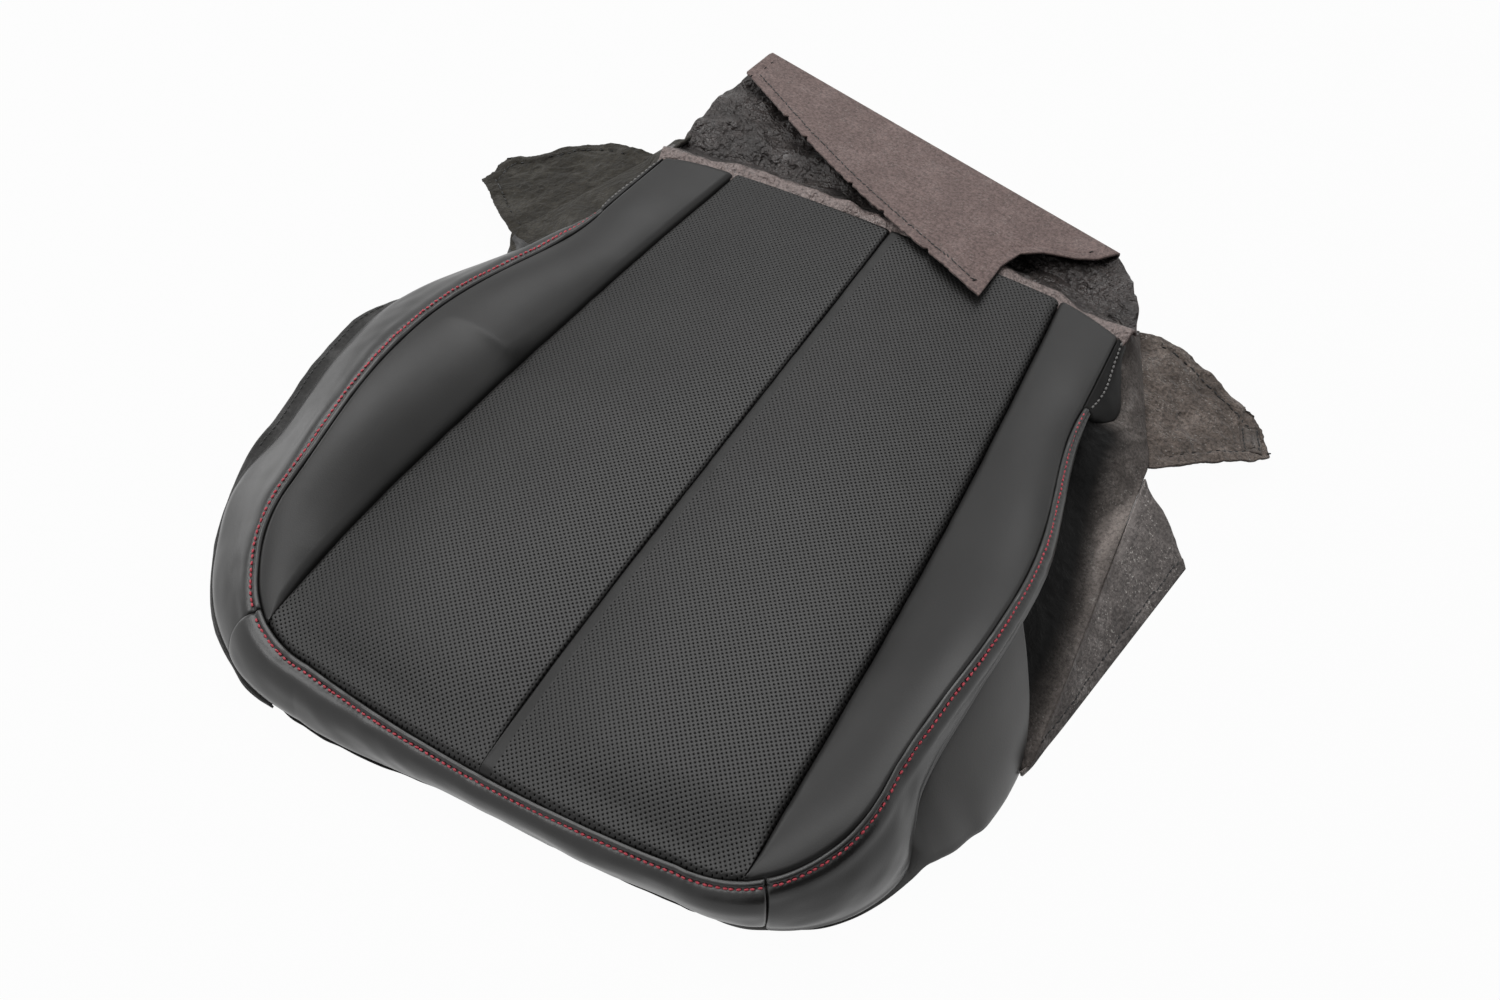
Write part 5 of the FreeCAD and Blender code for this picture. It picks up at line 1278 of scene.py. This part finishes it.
# Tabs
def tab_surface(name, grid, origin, along, outward, crumpled, seed):
    """Points of a tab at flat places, and their distance from its edge."""
    edge = edge_distance(name, grid)
    u, v = grid[..., 0], grid[..., 1]
    room = ease(v / 14)
    height = crumpled * (crumple(u / 38, v / 38, seed) + 0.5 * crumple(u / 11, v / 11, seed + 3)) * room
    height = height + room * (1.3 * ease((HEM_WIDTH - edge) / 1.2) - 1.0 * bell(edge - 8.5, 1.0))
    tuck = ease(1 - v / 5)
    up = np.cross(along, outward)
    level = origin + along * u[..., None] + outward * (v - 7 * tuck)[..., None]
    return level + up * (height - 1.0 * tuck)[..., None], edge


def tab(name, place, material, body):
    sheet, edge = tab_surface(name, flap_grid(name, 90, 130), *place)
    sheet_normals = normals(sheet, UP)
    nodes = [name, f"{name}_hem"]
    piece = own(lay(f"{name}_cloth", sheet, TAB_CLOTH, UP), body, material, nodes)
    row = hem_row(sheet + sheet_normals * 0.1, sheet_normals, edge, 8.5, HEM_PITCH)
    stitch_row(f"{name}_stitches", row, body, BLACK, length=3.7, radius=0.6)
    return piece


def tab_axes(start, end, side):
    along = unit(end - start)
    level = np.array([along[1], -along[0], 0.0])
    level = level * (1 if level[0] * side > 0 else -1)
    return along, level * math.cos(TAB_FALL) - UP * math.sin(TAB_FALL)


place = (left_fold(0.0), *tab_axes(left_fold(0.0), left_fold(1.0), LEFT), 1.7, 141)
left_tab = tab("tab_left", place, TAB_FELT, "tab_left_body")
place = (right_fold(1.0), *tab_axes(right_fold(1.0), right_fold(0.0), RIGHT), 1.8, 151)
right_tab = tab("tab_right", place, SIDE_FELT, "tab_right_body")

PATCH_U, PATCH_V = (64, 88), (68, 82)
grid = np.stack(np.meshgrid(np.linspace(*PATCH_U, 46), np.linspace(*PATCH_V, 28)), axis=-1)
sheet, _ = tab_surface("tab_right", grid, *place)
sheet_normals = normals(sheet, UP)
u, v = grid[..., 0], grid[..., 1]
from_edge = np.minimum.reduce([u - PATCH_U[0], PATCH_U[1] - u, v - PATCH_V[0], PATCH_V[1] - v])
lift = 1.5 * ease(from_edge / 1.0) - 0.7 * bell(from_edge - 2.2, 0.7) + 0.5 * ease((from_edge - 2.5) / 3)
sheet = sheet + sheet_normals * lift[..., None]
patch = lay("tab_right_patch_cloth", sheet, PATCH_CLOTH, UP)
own(patch, "tab_right_body", PATCH_FELT, ["tab_right_patch"])
for number, row in ((1, 4), (2, len(sheet) - 5)):
    normal = sheet_normals[row, 2:-2]
    stitches = spaced(sheet[row, 2:-2] + normal * 0.2, normal, 3.2)
    name = f"tab_right_patch_stitches_{number}"
    stitch_row(name, stitches, "tab_right_body", BLACK, radius=0.6)

# Nodes that keep their shape
shown_nodes = {"hook_strip_front": PLASTIC}
for seam in ("left", "centre", "right"):
    shown_nodes[f"listing_wire_{seam}"] = STEEL
    shown_nodes[f"listing_sleeve_{seam}"] = SLEEVE_FELT
for name, material in shown_nodes.items():
    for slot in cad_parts[name].material_slots:
        slot.material = material


# Camera, light and floor
def look_from(azimuth, elevation, roll, target, distance):
    """Place of a camera that looks at a target, turned about its own axis."""
    a, e, r = (math.radians(angle) for angle in (azimuth, elevation, roll))
    back = Vector((math.sin(a) * math.cos(e), -math.cos(a) * math.cos(e), math.sin(e)))
    right = Vector((math.cos(a), math.sin(a), 0))
    up = back.cross(right)
    turned_right = math.cos(r) * right + math.sin(r) * up
    turned_up = math.cos(r) * up - math.sin(r) * right
    matrix = Matrix((turned_right, turned_up, back)).transposed().to_4x4()
    matrix.translation = (Vector(target) + back * distance) * MM
    return matrix


camera = bpy.data.objects.new("camera", bpy.data.cameras.new("camera"))
bpy.context.collection.objects.link(camera)
FOCAL_PIXELS, PHOTO_PIXELS, SENSOR = 1879.65, 1500, 36
camera.data.sensor_width = SENSOR
camera.data.lens = FOCAL_PIXELS / PHOTO_PIXELS * SENSOR
camera.data.clip_start = 0.05
camera.matrix_world = look_from(
    azimuth=31.31, elevation=49.69, roll=-0.21, target=(34.91, -12.19, 60), distance=1154.68
)
bpy.context.scene.camera = camera


def lamp(name, place, size, power):
    """Square lamp that shines on the middle of the floor; places and sizes in metres, powers in watts."""
    light = bpy.data.lights.new(name, "AREA")
    light.energy = power
    light.size = size
    thing = bpy.data.objects.new(name, light)
    bpy.context.collection.objects.link(thing)
    thing.location = place
    thing.rotation_euler = (-Vector(place)).to_track_quat("-Z", "Y").to_euler()


lamp("key lamp", (-0.35, 0.6, 1.85), 1.4, 25)
lamp("front lamp", (-0.6, -0.7, 1.7), 0.8, 9)
lamp("left lamp", (-1.9, -0.05, 0.62), 1.2, 8.5)


def stage_plane(name, size, material):
    bpy.ops.mesh.primitive_plane_add(size=size)
    plane = bpy.context.object
    plane.name = name
    plane.data.materials.append(material)
    plane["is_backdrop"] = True
    return plane


# A dark card in front keeps the leather's front faces from mirroring the white world
nodes = Nodes("dark card")
card = stage_plane("card", 1, nodes.end(nodes.add("BsdfDiffuse", {"Color": (0.015, 0.015, 0.015, 1)})))
card.data.transform(Matrix.Diagonal((4.2, 2.3, 1, 1)))
card.location = (1.92, -1.49, 1.17)
card.rotation_euler = (math.radians(90), 0, math.radians(31))
card.visible_camera = False

WHITE = (1, 1, 1, 1)


def seen_directly(nodes):
    """1 on rays that come from the camera, from a mirroring surface or through glass."""
    seen = nodes.add("LightPath", output="Is Camera Ray")
    for kind in ("Transmission", "Glossy"):
        seen = seen.math("MAXIMUM", nodes.add("LightPath", output=f"Is {kind} Ray"))
    return seen


# White to the eye, and a dim light on the scene
nodes = Nodes("studio", world=True)
background = nodes.add("Background", {"Color": WHITE, "Strength": 0.1 + 0.9 * seen_directly(nodes)})
bpy.context.scene.world = nodes.end(background, "OutputWorld")

nodes = Nodes("white floor")
unshaded = nodes.add("Emission", {"Color": WHITE, "Strength": 1.0})
matte = nodes.add("BsdfDiffuse", {"Color": (0.35, 0.35, 0.35, 1)})
surface = nodes.add("MixShader", [seen_directly(nodes) * 0.97, matte, unshaded])
stage_plane("floor", 8, nodes.end(surface))

bpy.context.scene.view_settings.view_transform = "Standard"
visual_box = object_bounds()
boxes = {"cad": cad_box, "visual": visual_box}
{key: [list(map(float, corner)) for corner in value] for key, value in boxes.items()}
